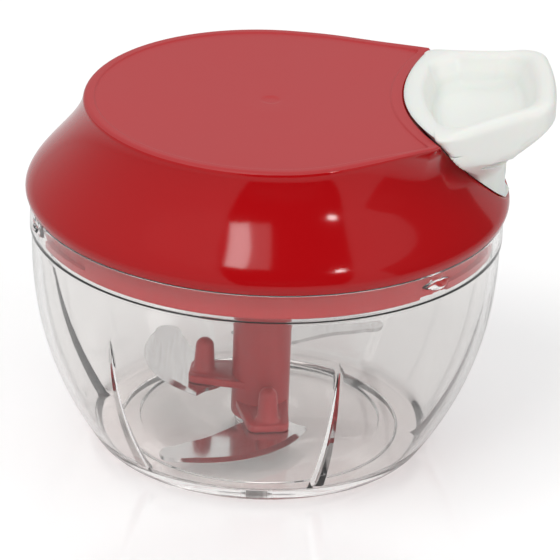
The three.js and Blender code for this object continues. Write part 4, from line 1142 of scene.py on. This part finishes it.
def rib_tree():
    """Geometry nodes: equal radial ribs between two radii, round the middle axis."""
    tree, given = new_tree("Radial Ribs", {
        "Count": 6, "Inner Radius": 0.025, "Outer Radius": 0.055, "Thickness": 0.0014,
        "Bottom": 0.0, "Top": 0.003,
    })
    outer, inner, top, bottom = (
        given[label] for label in ("Outer Radius", "Inner Radius", "Top", "Bottom")
    )
    length = maths(tree, "SUBTRACT", outer, inner)
    height = maths(tree, "SUBTRACT", top, bottom)
    middle = maths(tree, "MULTIPLY", maths(tree, "ADD", outer, inner), 0.5)
    level = maths(tree, "MULTIPLY", maths(tree, "ADD", top, bottom), 0.5)
    block = form(tree, "MeshCube", Size=vector(tree, length, given["Thickness"], height))
    circle = form(tree, "MeshCircle", Vertices=given["Count"], Radius=middle)
    step = maths(tree, "DIVIDE", TURN, given["Count"])
    index = add_node(tree, "GeometryNodeInputIndex").outputs[0]
    spin = vector(tree, Z=maths(tree, "MULTIPLY", index, step))
    ring = form(tree, "InstanceOnPoints", Points=circle, Instance=block, Rotation=spin)
    half_step = vector(tree, Z=maths(tree, "MULTIPLY", step, 0.5))
    return end_tree(tree, raised(tree, ring, level, Rotation=half_step), given["Material"])


def grow(name, tree, values):
    """A plain mesh object from a Geometry Nodes tree and its named inputs."""
    host = bpy.data.objects.new(name.replace(" ", "_"), bpy.data.meshes.new(name))
    bpy.context.scene.collection.objects.link(host)
    modifier = host.modifiers.new("Geometry Nodes", "NODES")
    modifier.node_group = tree
    sockets = {
        item.name: item.identifier for item in tree.interface.items_tree if item.in_out == "INPUT"
    }
    for label, value in values.items():
        modifier[sockets[label]] = value
    made = bake(host)
    if not made.data.polygons:
        raise RuntimeError(f"{name} came out of its tree without faces")
    return made


def lid_base_mesh():
    """The lid's base: plate, inner skirt with its grooves, and the well under the reel."""
    # The base wears the lightened red, which is painted light for its inner skirt in the lid's shade.
    red = finish("Base Red With Painted Light")
    skirt = reach("lid_base", BASE_LOW[2] - 0.1, BASE_LOW[2] + 0.1)
    skirt_inner = skirt - 3.0
    well, hole, plate_edge = WELL_RADIUS, WELL_HOLE, BASE_HIGH[0]
    well_middle = (WELL_LOW + WELL_TOP) / 2
    profile = rounded([
        (hole, well_middle, 0), (hole, WELL_LOW, 0.3), (well + 2, WELL_LOW, 0.8),
        (well + 2, PLATE_BOTTOM, 0.6), (skirt_inner, PLATE_BOTTOM, 0.6), (skirt_inner, BASE_LOW[2], 0.5),
        (skirt, BASE_LOW[2], 0.5), (skirt, PLATE_BOTTOM, 0.3), (plate_edge, PLATE_BOTTOM, 0.4),
        (plate_edge, PLATE_TOP, 0.4), (well, PLATE_TOP, 0.5), (well, WELL_TOP, 0.8),
        (hole, WELL_TOP, 0.3), (hole, well_middle + 0.3, 0),
    ])
    base = lathe("Lid Base", profile, 192, red, loop=True)
    ribs = grow("Plate Ribs", rib_tree(), {
        "Count": 6, "Inner Radius": (well + 1.5) * MM, "Outer Radius": (skirt_inner + 0.5) * MM,
        "Thickness": 1.4 * MM, "Bottom": (PLATE_BOTTOM - 3.0) * MM, "Top": (PLATE_BOTTOM + 0.5) * MM,
        "Material": red,
    })
    carve(base, ribs, "UNION")
    groove_inner = reach("bowl", NUB_BOTTOM - 0.1, NUB_TOP + 0.1, least=True) - 0.4
    for angle in (math.degrees(nub) for nub in NUB_ANGLES):
        start, end = angle - 4.8, angle + 4.8
        cut = (groove_inner, skirt + 2)
        carve(base, sector_block("Drop", *cut, BASE_LOW[2] - 1, NUB_TOP + 0.3, start, end))
        carve(base, sector_block("Run", *cut, NUB_BOTTOM - 0.3, NUB_TOP + 0.3, start, end + 20))
    seat = PLATE_BOTTOM + 1.1
    hole = [(0, 60.0), (3.2, 60.0), (3.2, seat), (1.7, seat), (1.7, 72.0), (0, 72.0)]
    holes = [move(lathe("Screw Hole", hole, 32), 0.0, spot) for spot in SCREW_SPOTS]
    return carve(base, merge(*holes))


def seal_mesh():
    low, high = SEAL_LOW[2], SEAL_HIGH[2]
    outer = SEAL_HIGH[0]
    inner = reach("lid_seal", low - 0.1, high + 0.1, least=True)
    middle = (inner + outer) / 2
    profile = rounded([
        (inner, high - 0.2, 0), (inner, low + 0.5, 0.3), (middle, low, 0.5), (outer, low + 0.5, 0.3),
        (outer, high, 0.2), (inner, high, 0.2), (inner, high - 0.15, 0),
    ])
    return lathe("Lid Seal", profile, 192, finish("Seal Silicone"), loop=True)


def screw_tree():
    """Geometry nodes: cross-slotted screws with a rounded head, at the corners of a rectangle."""
    tree, given = new_tree("Corner Screws", {
        "Span X": 0.05, "Span Y": 0.07, "Seat": 0.067, "Head Radius": 0.003, "Head Height": 0.002,
        "Shank Radius": 0.0015, "Length": 0.012, "Thread Pitch": 0.0009,
    })
    head_radius, head_height, shank_radius, pitch = (
        given[label] for label in ("Head Radius", "Head Height", "Shank Radius", "Thread Pitch")
    )

    def share(socket, factor):
        return maths(tree, "MULTIPLY", socket, factor)

    rim = share(head_height, 0.45)
    low = form(tree, "MeshCone", Vertices=32, Depth=rim, Radius_Bottom=share(head_radius, 0.72),
               Radius_Top=head_radius)
    flat = form(tree, "MeshCylinder", Vertices=32, Radius=head_radius,
                Depth=maths(tree, "SUBTRACT", head_height, rim))
    high = raised(tree, flat, share(maths(tree, "ADD", head_height, rim), 0.5))
    solid = add_node(tree, "GeometryNodeMeshBoolean", operation="UNION")
    head = add_node(tree, "GeometryNodeMeshBoolean", operation="DIFFERENCE")
    for piece in (low, high):
        tree.links.new(piece, solid.inputs[1])
    tree.links.new(solid.outputs[0], head.inputs[0])
    long, narrow, deep = share(head_radius, 1.15), share(head_radius, 0.24), share(head_height, 0.9)
    for size in ((long, narrow, deep), (narrow, long, deep)):
        tree.links.new(form(tree, "MeshCube", Size=vector(tree, *size)), head.inputs[1])
    core = form(tree, "MeshCone", Vertices=24, Depth=given["Length"],
                Radius_Top=share(shank_radius, 0.45), Radius_Bottom=share(shank_radius, 0.78))
    ridge = form(tree, "MeshCone", Vertices=24, Depth=share(pitch, 0.55),
                 Radius_Top=share(shank_radius, 0.75), Radius_Bottom=shank_radius)
    count = maths(tree, "SUBTRACT", maths(tree, "DIVIDE", given["Length"], pitch), 2.0)
    row = form(tree, "MeshLine", Count=count, Offset=vector(tree, Z=pitch))
    thread = form(tree, "InstanceOnPoints", Points=row, Instance=ridge)
    screw = add_node(tree, "GeometryNodeJoinGeometry")
    thread = raised(tree, thread, maths(tree, "ADD", head_height, pitch))
    for piece in (thread, raised(tree, core, head_height), head.outputs[0]):
        tree.links.new(piece, screw.inputs[0])
    corners = form(tree, "MeshGrid", Vertices_X=2, Vertices_Y=2, Size_X=given["Span X"],
                   Size_Y=given["Span Y"])
    spots = raised(tree, corners, given["Seat"])
    screws = form(tree, "InstanceOnPoints", Points=spots, Instance=screw.outputs[0])
    return end_tree(tree, screws, given["Material"])


def eyelet_mesh():
    """The hard bush that the cord runs through, with a rounded mouth."""
    start, end = EYELET_LOW[0], EYELET_HIGH[0]
    bore = 1.7
    profile = rounded([
        (bore, start + 1.0, 0), (bore, start, 0.6), (EYELET_HIGH[1], start, 0.4),
        (EYELET_HIGH[1], start + 1.2, 0.2), (EYELET_RADIUS, start + 1.2, 0.1), (EYELET_RADIUS, end, 0.3),
        (bore, end, 0.5), (bore, end - 1.0, 0),
    ])
    made = lathe("Cord Eyelet", profile, 48, finish("Grey Plastic"), loop=True)
    return move(made, 0.0, (0, 0, CORD_HEIGHT), Matrix.Rotation(QUARTER, 4, "Y"))


# Cord

def winding_tree():
    """Geometry nodes: a round cord wound as a helix on its drum."""
    tree, given = new_tree("Wound Cord", {
        "Turns": 4.25, "Wind Radius": 0.023, "Rise": 0.011, "Bottom": 0.073,
        "Cord Radius": 0.001, "First Angle": 0.0,
    })
    radius = given["Wind Radius"]
    helix = form(tree, "CurveSpiral", Resolution=64, Rotations=given["Turns"], Start_Radius=radius,
                 End_Radius=radius, Height=given["Rise"])
    section = form(tree, "CurvePrimitiveCircle", Resolution=16, Radius=given["Cord Radius"])
    skin = form(tree, "CurveToMesh", Curve=helix, Profile_Curve=section, Fill_Caps=True)
    start = vector(tree, Z=given["First Angle"])
    return end_tree(tree, raised(tree, skin, given["Bottom"], Rotation=start), given["Material"])


def cord_lead_mesh():
    """The run of cord from the drum through the eyelet to its knot in the handle."""
    radius = sizes().cord_radius / MM
    across, out = math.sin(LEAVING_ANGLE), math.cos(LEAVING_ANGLE)
    top_turn = WIND_LOW + WIND_PITCH * WIND_TURNS
    on_drum = np.array([WIND_RADIUS * out, -WIND_RADIUS * across, top_turn])
    tangent = np.array([across, out, 0.0])
    start = on_drum + tangent * (2 * radius + SEAT_GAP)
    bend = np.array([CORD_BEND, 0, CORD_HEIGHT])
    mouth = np.array([EYELET_LOW[0], 0, CORD_HEIGHT])
    knot = np.array([PLUG_LOW[0] - KNOT_RADIUS - SEAT_GAP, 0, CORD_HEIGHT])
    towards = (start - bend) / np.linalg.norm(start - bend)
    before = bend + towards * 4.0
    path = [start + (before - start) * t for t in np.linspace(0, 1, 10)[:-1]]
    path += [before * (1 - t) ** 2 + bend * 2 * t * (1 - t) + mouth * t ** 2
             for t in np.linspace(0, 1, 13)]
    path += [mouth + (knot - mouth) * t for t in np.linspace(0, 1, 14)[1:]]
    path = np.array(path)
    along = np.gradient(path, axis=0)
    along /= np.linalg.norm(along, axis=1)[:, None]
    side = np.cross(along, (0, 0, 1.0))
    side /= np.linalg.norm(side, axis=1)[:, None]
    up = np.cross(side, along)
    turn = np.arange(16) * TURN / 16
    rings = [
        place + radius * (np.outer(np.cos(turn), s) + np.outer(np.sin(turn), u))
        for place, s, u in zip(path, side, up)
    ]
    points, faces = shell(rings, path[0], path[-1])
    lead = mesh_object("Cord Lead", points, faces, finish("Braided Pull Cord"))
    ball = [(KNOT_RADIUS * math.sin(a), -KNOT_RADIUS * math.cos(a))
            for a in np.linspace(0, math.pi, 17)]
    knot_ball = move(lathe("Knot", ball, 24, finish("Braided Pull Cord")), 0.0, knot)
    return carve(lead, knot_ball, "UNION")


# Pull handle

def grip_half(x):
    out = x - SLOPE_START
    return ROOT_HALF - 0.56 * out + out ** 2 / 182.0


def grip_ring(root, end, corner, root_corner, width, height, groove=0.0):
    """A level of the handle: a bowed root, two sides and a rounded outer end."""
    bow = lambda y: y ** 2 / NOTCH_BEND
    root_half = width(root)
    for _ in range(12):
        root_half = width(root + bow(root_half) + root_corner)
    root_corner = min(root_corner, root_half * 0.8)
    corner = min(corner, max((end - root - bow(root_half) - root_corner) * 0.9, 0.05))
    half = [(root + bow(y) + groove * (1 - (y / root_half) ** 4), y)
            for y in np.linspace(0, root_half - root_corner, 25)[:-1]]
    corner_x = root + bow(root_half - root_corner) + root_corner
    line = arc(corner_x, root_half - root_corner, root_corner, math.pi, QUARTER, 17)[:-1]
    side_end = max(end - corner, corner_x + 0.05)
    line += [(x, width(x)) for x in np.linspace(corner_x, side_end, 61)[:-1]]
    end_half = max(width(side_end) - corner, 0.02)
    line += arc(side_end, end_half, corner, QUARTER, 0, 29)[:-1]
    line += [(side_end + corner + END_BULGE * (1 - (y / end_half) ** 2), y)
             for y in np.linspace(end_half, 0, 31)]
    return closed_ring(np.array(half), np.array(line), root_corner * QUARTER, height, 8)


def keel_ring(root, skin, end, square_share, bulge_share, inset, height):
    """A level below the grip: at square_share 0 a round from the lid's skin, at 1 like the grip."""
    bow = lambda y: y ** 2 / NOTCH_BEND
    edge_half = 10.0
    for _ in range(60):
        edge_half = 0.5 * (edge_half + math.sqrt(max(skin ** 2 - (root + bow(edge_half)) ** 2, 0.01)))
    edge = root + bow(edge_half)
    middle = (end ** 2 - skin ** 2) / (2 * max(end - edge, 0.5))
    corner = END_CORNER
    square_half = float(grip_half(end - corner)) - inset - corner

    def width(x):
        round_half = np.sqrt(np.clip((end - middle) ** 2 - (x - middle) ** 2, 0, None))
        turned = np.sqrt(np.clip(corner ** 2 - np.clip(x - end + corner, 0, corner) ** 2, 0, None))
        straight = grip_half(x) - inset * np.clip((x - 56) / 6, 0, 1)
        square = np.where(x > end - corner, square_half + turned, straight)
        rounded_off = np.where(x < edge, np.maximum(round_half, edge_half), round_half)
        full = rounded_off * (1 - square_share) + square * square_share
        steepest = 0.4 + 4.0 * square_share ** 2
        return np.minimum(full, edge_half + steepest * np.clip(x - edge, 0, None))

    root_half = 1.0
    for _ in range(60):
        root_half = 0.5 * (root_half + float(width(min(root + bow(root_half), end))))
    root_corner = min(1.0, root_half * 0.3)
    half = [(root + bow(y), y) for y in np.linspace(0, root_half - root_corner, 25)[:-1]]
    start = half[-1][0] + root_corner * 0.5
    x = start + (end - start) * np.sin(np.linspace(0, QUARTER, 400))
    y = np.clip(width(x), 0, None)
    y_end = max(float(y[-1]), 1e-3)
    closing = np.linspace(y_end, 0, 60)
    line = np.vstack([
        [[root + bow(root_half - root_corner), root_half - root_corner]], np.column_stack([x, y])[2:],
        np.column_stack([end + END_BULGE * bulge_share * (1 - (closing / y_end) ** 2), closing])[1:],
    ])
    return closed_ring(half, line, 1.5, height)


def closed_ring(half, line, first, height, easing=0):
    """Both halves of a level: its root points, then the line round to its end in even steps."""
    run = np.concatenate([[0], np.cumsum(np.linalg.norm(np.diff(line, axis=0), axis=1))])
    first = min(first, run[-1] * 0.2)
    even = np.concatenate([np.linspace(0, first, 9)[:-1], np.linspace(first, run[-1], 59)])
    spaced = [np.interp(even, run, line[:, axis]) for axis in (0, 1)]
    half = np.vstack([half, np.column_stack(spaced)])
    for _ in range(easing):
        half[30:50] = (half[29:49] + 2 * half[30:50] + half[31:51]) / 4
    plan = np.vstack([half[1:-1] * [1, -1], half[-1:], half[1:-1][::-1], half[:1]])
    return np.column_stack([plan, height(plan[:, 0], plan[:, 1])])


def handle_rings():
    """The handle's levels from the keel's tip, up its sides, over the rim and into the dish."""
    values = sizes()
    rim, depth = values.grip_rim / MM, values.dish_depth / MM
    keel_level = UNDER_LEVEL - 2.0
    full_end = HANDLE_END - END_BULGE
    root_at = lambda z: NOTCH_FACE + SEAT_GAP + max(LID_TOP - z, 0.0) * NOTCH_SLOPE

    def skin_at(z):
        flare = WING_FLARE * np.clip((z - WING_START) / (LID_TOP - WING_START), 0, None) ** 2
        return float(np.interp(z, RUN_HEIGHT, RUN_RADIUS) + flare) - 0.1

    first = LID_TOP - (skin_at(BULGE_HEIGHT) - 0.6 - NOTCH_FACE - SEAT_GAP) / NOTCH_SLOPE
    levels = [(z, max(skin_at(z), KEEL_OUTER), 0.0, 0.0)
              for z in first + (keel_level - first) * np.linspace(0, 1, 30) ** 1.3]
    soft = 2.8
    reach_out = full_end - soft - KEEL_OUTER
    for a in np.linspace(0, QUARTER, 12)[1:]:
        end = KEEL_OUTER + reach_out * (1 - math.cos(a))
        levels.append((keel_level + 2.0 * math.sin(a), end, math.sin(a) ** 2, soft))
    for a in np.linspace(0, QUARTER, 9)[1:]:
        levels.append((
            UNDER_LEVEL + soft * (1 - math.cos(a)), full_end - soft + soft * math.sin(a), 1.0,
            soft * (1 - math.sin(a)),
        ))
    rings = []
    side_low = UNDER_LEVEL + soft
    for z, end, share, inset in levels:
        height = lambda x, y, z=z: z + UNDER_SLOPE * np.clip(x - KEEL_OUTER, 0, None)
        widen = eased(min(max((z - side_low + 12.0) / 12.0, 0.0), 1.0))
        rings.append(keel_ring(root_at(z), skin_at(z), end, widen, share, inset, height))
    roll = 2.6
    top_at = lambda x: GRIP_TOP + (x - SLOPE_START) * np.where(x > SLOPE_START, TOP_SLOPE, TOP_SLOPE / 2)

    def sharp(x, y):
        """How much of the rim's roll is kept: less beside the lid, all of it farther out."""
        out = np.clip((x - NOTCH_FACE - y ** 2 / NOTCH_BEND - 1.0) / 7.0, 0, 1)
        return 0.35 + 0.65 * eased(out)

    for share in np.linspace(0, 1, 11)[1:]:
        height = lambda x, y, s=share: (
            side_low + UNDER_SLOPE * np.clip(x - KEEL_OUTER, 0, None)) * (1 - s) + (
            top_at(x) - roll * sharp(x, y)) * s
        level = side_low + (LID_TOP + 0.3 - side_low) * share
        step = RIM_GAP * float(np.clip((level - LID_TOP + 2.0) / 1.0, 0, 1))
        corner = 1.0 + 1.5 * float(np.clip((level - LID_TOP + 2.0) / 2.0, 0, 1))
        rings.append(grip_ring(
            root_at(level), full_end, END_CORNER, corner, grip_half, height, step))
    rim_path = [(roll * (1 - math.cos(a)), roll * (1 - math.sin(a)))
                for a in np.linspace(0, QUARTER, 9)[1:]]
    inner_roll = 2.4
    rim_path += [(rim - inner_roll + inner_roll * math.sin(a), inner_roll * (1 - math.cos(a)))
                 for a in np.linspace(0, QUARTER - 0.3, 8)[1:]]
    last = rim_path[-1]
    floor_round = 3.2
    fall = depth - floor_round - last[1]
    rim_path += [(last[0] + 1.7 * t, last[1] + fall * t) for t in (0.35, 0.7, 1.0)]
    last = rim_path[-1]
    rim_path += [(last[0] + floor_round * (1 - math.cos(a)), last[1] + floor_round * math.sin(a))
                 for a in np.linspace(0.2, QUARTER, 8)[1:]]
    rim_path += [(last[0] + floor_round + d, depth) for d in (1.5, 3.5, 6.0)]
    for inset, drop in rim_path:
        share = min(inset / rim, 1.0)
        tighter = max(inset - rim, 0) * 0.35
        corner = END_CORNER + (DISH_CORNER - END_CORNER) * share - tighter
        root_corner = ROOT_CORNER + (DISH_CORNER - ROOT_CORNER) * share - tighter
        half = lambda x, i=inset: grip_half(x) - i
        height = lambda x, y, d=drop: top_at(x) - np.where(d < roll, d * sharp(x, y), d)
        root = NOTCH_FACE + SEAT_GAP + inset
        rings.append(grip_ring(root, full_end - inset, corner, root_corner, half, height))
    return rings


def handle_mesh():
    """The pull handle: dished grip on the keel that fills the lid's notch."""
    rings = [lifted(ring - np.outer(ring[:, 1], [NOTCH_SKEW, 0, 0])) for ring in handle_rings()]
    points, faces = shell(rings, rings[0].mean(0), rings[-1].mean(0))
    handle = mesh_object("Pull Handle", points, faces, finish("Handle White"))
    pocket_start = KEEL_OUTER - PLUG_LENGTH - 2 * (KNOT_RADIUS + SEAT_GAP)
    carve(handle, bar("Cord Bore", 1.5, NOTCH_FACE, pocket_start + 1.0, 32))
    return carve(handle, bar("Knot Pocket", 4.0, pocket_start, KEEL_OUTER + 2.0))


# Operators

class CHOPPER_OT_bowl(bpy.types.Operator):
    """Builds the clear bowl with its ribs, nubs and lugs"""

    bl_idname = "chopper.bowl"
    bl_label = "Clear Bowl"

    def execute(self, context):
        finish_piece(bowl_mesh(), "bowl", "clear_plastic", "bowl")
        return {"FINISHED"}


class CHOPPER_OT_pin(bpy.types.Operator):
    """Builds the steel pin that the hub runs on"""

    bl_idname = "chopper.pin"
    bl_label = "Spindle Pin"

    def execute(self, context):
        finish_piece(pin_mesh(), "bowl", "plain_steel", "spindle_pin")
        return {"FINISHED"}


class CHOPPER_OT_hub(bpy.types.Operator):
    """Builds the blade hub with its arms, pegs and drive socket"""

    bl_idname = "chopper.hub"
    bl_label = "Blade Hub"

    def execute(self, context):
        finish_piece(hub_mesh(), "blades", "red_plastic", "blade_hub")
        return {"FINISHED"}


class CHOPPER_OT_blades(bpy.types.Operator):
    """Builds the three ground sickle blades"""

    bl_idname = "chopper.blades"
    bl_label = "Blades"

    def execute(self, context):
        for index, node in enumerate(("blade_lower", "blade_middle", "blade_upper")):
            finish_piece(blade_mesh(index, node), "blades", "blade_steel", node, crease=14.0)
        return {"FINISHED"}


class CHOPPER_OT_lid_housing(bpy.types.Operator):
    """Builds the lid's red housing with its notch, bead and panel"""

    bl_idname = "chopper.lid_housing"
    bl_label = "Lid Housing"

    def execute(self, context):
        finish_piece(lid_mesh(), "lid", "red_shell", "lid_housing")
        return {"FINISHED"}


class CHOPPER_OT_lid_base(bpy.types.Operator):
    """Builds the lid's base with its grooved inner skirt and ribs"""

    bl_idname = "chopper.lid_base"
    bl_label = "Lid Base"

    def execute(self, context):
        finish_piece(lid_base_mesh(), "lid", "red_plastic", "lid_base")
        return {"FINISHED"}


class CHOPPER_OT_seal(bpy.types.Operator):
    """Builds the silicone ring between bowl and lid"""

    bl_idname = "chopper.seal"
    bl_label = "Lid Seal"

    def execute(self, context):
        finish_piece(seal_mesh(), "seal", "silicone", "lid_seal")
        return {"FINISHED"}


class CHOPPER_OT_screws(bpy.types.Operator):
    """Builds the four screws of the lid by Geometry Nodes"""

    bl_idname = "chopper.screws"
    bl_label = "Lid Screws"

    def execute(self, context):
        screws = grow("Lid Screws", screw_tree(), {
            "Span X": 2 * SCREW_X * MM, "Span Y": 2 * SCREW_Y * MM, "Seat": (SCREW_LOW[2] + 0.45) * MM,
            "Head Radius": 3.0 * MM, "Head Height": 1.55 * MM, "Shank Radius": 1.5 * MM,
            "Length": 12.0 * MM, "Thread Pitch": 0.9 * MM, "Material": finish("Plain Steel"),
        })
        finish_piece(screws, "lid", "plain_steel", *(f"lid_screw_{k}" for k in range(1, 5)))
        return {"FINISHED"}


class CHOPPER_OT_eyelet(bpy.types.Operator):
    """Builds the bush that guides the cord out of the lid"""

    bl_idname = "chopper.eyelet"
    bl_label = "Cord Eyelet"

    def execute(self, context):
        finish_piece(eyelet_mesh(), "lid", "grey_plastic", "cord_eyelet")
        return {"FINISHED"}


class CHOPPER_OT_handle(bpy.types.Operator):
    """Builds the white pull handle and the plug of its knot pocket"""

    bl_idname = "chopper.handle"
    bl_label = "Pull Handle"

    def execute(self, context):
        finish_piece(handle_mesh(), "handle", "white_plastic", "handle", crease=40.0)
        start = PLUG_LOW[0]
        white = finish("Handle White")
        plug = bar("Handle Plug", PLUG_HIGH[1], start, KEEL_OUTER, 48, white, bevel=0.25)
        finish_piece(plug, "handle", "white_plastic", "handle_plug")
        return {"FINISHED"}


class CHOPPER_OT_cord(bpy.types.Operator):
    """Builds the wound cord and the run that ends in the handle's knot"""

    bl_idname = "chopper.cord"
    bl_label = "Pull Cord"

    def execute(self, context):
        winding = grow("Wound Cord", winding_tree(), {
            "Turns": WIND_TURNS, "Wind Radius": WIND_RADIUS * MM, "Rise": WIND_PITCH * WIND_TURNS * MM,
            "Bottom": WIND_LOW * MM, "Cord Radius": sizes().cord_radius,
            "First Angle": -LEAVING_ANGLE - WIND_TURNS * TURN, "Material": finish("Braided Pull Cord"),
        })
        finish_piece(winding, "reel", "cord", "cord_winding")
        lead = finish_piece(cord_lead_mesh(), None, "cord", "cord_lead")
        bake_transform(lead)
        return {"FINISHED"}


class CHOPPER_OT_works(bpy.types.Operator):
    """Gives the inner works that stay as CAD solids their finishes"""

    bl_idname = "chopper.works"
    bl_label = "Inner Works"

    def execute(self, context):
        looks = {
            "reel_axle": "Plain Steel", "thrust_washer": "Plain Steel", "cord_reel": "Grey Plastic",
            "reel_cover": "Grey Plastic", "recoil_spring": "Spring Steel", "drive_hub": "Grey Plastic",
            "pawl_1": "Plain Steel", "pawl_2": "Plain Steel",
        }
        for node, look in looks.items():
            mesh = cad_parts[node].data
            mesh.materials.clear()
            mesh.materials.append(finish(look))
        return {"FINISHED"}


class CHOPPER_OT_stage(bpy.types.Operator):
    """Builds the pale floor, the soft lamps and the camera"""

    bl_idname = "chopper.stage"
    bl_label = "Stage"

    def execute(self, context):
        build_floor()
        build_world()
        build_flags()
        build_lamps()
        build_camera()
        return {"FINISHED"}


def ray_strength(tree, plain, **kinds):
    """A strength that is plain for rays that carry light and raised for the kinds of ray named."""
    ray = add_node(tree, "ShaderNodeLightPath")
    total = plain
    for kind, extra in kinds.items():
        step = maths(tree, "MULTIPLY", ray.outputs[f"Is {kind} Ray"], extra)
        total = maths(tree, "ADD", step, total)
    return total


def build_floor():
    """A pale floor that shows as white where no shadow lies on it."""
    material, tree, principled, output = new_material("Pale Floor")
    feed(principled, Base_Color=(0.84, 0.84, 0.84, 1.0), Roughness=0.14, Specular_IOR_Level=0.6)
    strength = ray_strength(tree, 0.0, Camera=0.24, Transmission=0.24)
    glow = feed(add_node(tree, "ShaderNodeEmission"), Color=WHITE, Strength=strength)
    both = add_node(tree, "ShaderNodeAddShader")
    feed(both, principled.outputs["BSDF"], glow.outputs["Emission"])
    feed(output, Surface=both.outputs["Shader"])
    sheet_at("Floor", (0.0, 0.0, -0.2), (60000.0, 60000.0), None, material)


def sheet_at(name, place, size, aim, material):
    """A flat sheet centred on a place, facing up or facing the point it aims at."""
    w, h = size[0] / 2, size[1] / 2
    corners = [(-w, -h, 0), (w, -h, 0), (w, h, 0), (-w, h, 0)]
    flat = mesh_object(name, corners, [(0, 1, 2, 3)], material)
    matrix = Matrix.Translation(Vector(place) * MM)
    if aim is not None:
        matrix = matrix @ (Vector(aim) - Vector(place)).to_track_quat("Z", "Y").to_matrix().to_4x4()
    flat.data.transform(matrix)
    return flat


def build_world():
    """A white studio: plain light for surfaces, white for the camera and through clear pieces."""
    world = bpy.data.worlds.new("Pale Studio")
    world.use_nodes = True
    tree = world.node_tree
    tree.nodes.clear()
    strength = ray_strength(tree, 0.52, Camera=0.48, Transmission=0.48, Glossy=0.06)
    light = feed(add_node(tree, "ShaderNodeBackground"), Color=WHITE, Strength=strength)
    feed(add_node(tree, "ShaderNodeOutputWorld"), Surface=light.outputs[0])
    bpy.context.scene.world = world


def build_flags():
    """Cards that only mirrors see: a black one round the camera, a grey one on the right."""
    cards = [
        ("Black Flag", (270.0, -1230.0, 880.0), (1500.0, 1800.0), 0.0),
        ("Grey Flag", (1500.0, 100.0, 320.0), (2000.0, 1500.0), 0.12),
    ]
    for name, place, size, level in cards:
        material, tree, principled, output = new_material(name)
        tree.nodes.remove(principled)
        shade = feed(add_node(tree, "ShaderNodeEmission"), Color=WHITE, Strength=level)
        feed(output, Surface=shade.outputs["Emission"])
        flag = sheet_at(name, place, size, (0.0, 0.0, 60.0), material)
        flag.visible_camera = False
        flag.visible_diffuse = False
        flag.visible_transmission = False
        flag.visible_shadow = False


def build_lamps():
    """Broad soft boxes that light the piece, and a narrow one that mirrors in the lid's front."""
    aim = Vector((0, 0, 0.06))
    lamps = [
        ("Key Softbox", (-0.65, -0.55, 1.25), (0.9, 0.7), 7.5, False),
        ("Fill Softbox", (0.95, -0.45, 0.7), (0.6, 0.6), 2.0, False),
        ("Back Softbox", (0.1, 0.95, 1.0), (0.9, 0.5), 3.0, False),
        ("Front Fill", (0.25, -1.40, 0.45), (1.0, 0.7), 3.0, False),
        ("Front Strip", (-0.24, -0.80, 1.154), (0.20, 0.27), 1.3, True),
        ("Front Fade", (-0.05, -0.83, 1.154), (0.20, 0.27), 0.25, True),
        ("Side Glint", (0.665, -0.80, 0.94), (0.09, 0.07), 0.5, True),
    ]
    for name, place, (width, height), power, mirrored in lamps:
        lamp = bpy.data.lights.new(name, "AREA")
        lamp.shape = "RECTANGLE"
        lamp.size, lamp.size_y = width, height
        lamp.energy = power
        made = bpy.data.objects.new(name.replace(" ", "_"), lamp)
        bpy.context.scene.collection.objects.link(made)
        made.location = place
        made.rotation_euler = (aim - Vector(place)).to_track_quat("-Z", "Y").to_euler()
        made.visible_glossy = mirrored


def build_camera():
    """The camera at the photograph's place and angle."""
    pitch, yaw, roll = (math.radians(angle) for angle in (24.6854, 0.1913, 2.1748))
    ahead = Vector((math.sin(yaw) * math.cos(pitch), math.cos(yaw) * math.cos(pitch), -math.sin(pitch)))
    right = Vector((math.cos(yaw), -math.sin(yaw), 0))
    up = right.cross(ahead)
    side = right * math.cos(roll) + up * math.sin(roll)
    top = up * math.cos(roll) - right * math.sin(roll)
    data = bpy.data.cameras.new("Camera")
    data.sensor_fit = "HORIZONTAL"
    data.sensor_width = 36.0
    data.lens = 332.82
    data.clip_start, data.clip_end = 0.05, 100.0
    camera = bpy.data.objects.new("Camera", data)
    bpy.context.scene.collection.objects.link(camera)
    camera.matrix_world = Matrix((
        (side.x, top.x, -ahead.x, 0.0),
        (side.y, top.y, -ahead.y, -1.22427),
        (side.z, top.z, -ahead.z, 0.60562),
        (0.0, 0.0, 0.0, 1.0),
    ))
    bpy.context.scene.camera = camera
    bpy.context.scene.view_settings.view_transform = "Standard"


OPERATORS = (
    CHOPPER_OT_bowl, CHOPPER_OT_pin, CHOPPER_OT_hub, CHOPPER_OT_blades, CHOPPER_OT_lid_housing,
    CHOPPER_OT_lid_base, CHOPPER_OT_seal, CHOPPER_OT_screws, CHOPPER_OT_eyelet, CHOPPER_OT_handle,
    CHOPPER_OT_cord, CHOPPER_OT_works, CHOPPER_OT_stage,
)


class CHOPPER_PT_pieces(bpy.types.Panel):
    """Lists the chopper's pieces, sizes and colours"""

    bl_idname = "CHOPPER_PT_pieces"
    bl_label = "Food Chopper"
    bl_space_type = "VIEW_3D"
    bl_region_type = "UI"
    bl_category = "Chopper"

    def draw(self, context):
        for made in OPERATORS:
            self.layout.operator(made.bl_idname)
        for group in (context.scene.chopper_sizes, context.scene.chopper_colours):
            column = self.layout.column()
            for label in group.__annotations__:
                column.prop(group, label)


def register():
    for made in (ChopperSizes, ChopperColours, *OPERATORS, CHOPPER_PT_pieces):
        bpy.utils.register_class(made)
    bpy.types.Scene.chopper_sizes = bpy.props.PointerProperty(type=ChopperSizes)
    bpy.types.Scene.chopper_colours = bpy.props.PointerProperty(type=ChopperColours)


def unregister():
    del bpy.types.Scene.chopper_colours
    del bpy.types.Scene.chopper_sizes
    for made in reversed((ChopperSizes, ChopperColours, *OPERATORS, CHOPPER_PT_pieces)):
        bpy.utils.unregister_class(made)


def main():
    register()
    for made in OPERATORS:
        group, name = made.bl_idname.split(".")
        getattr(getattr(bpy.ops, group), name)()


if __name__ == "__main__":
    main()
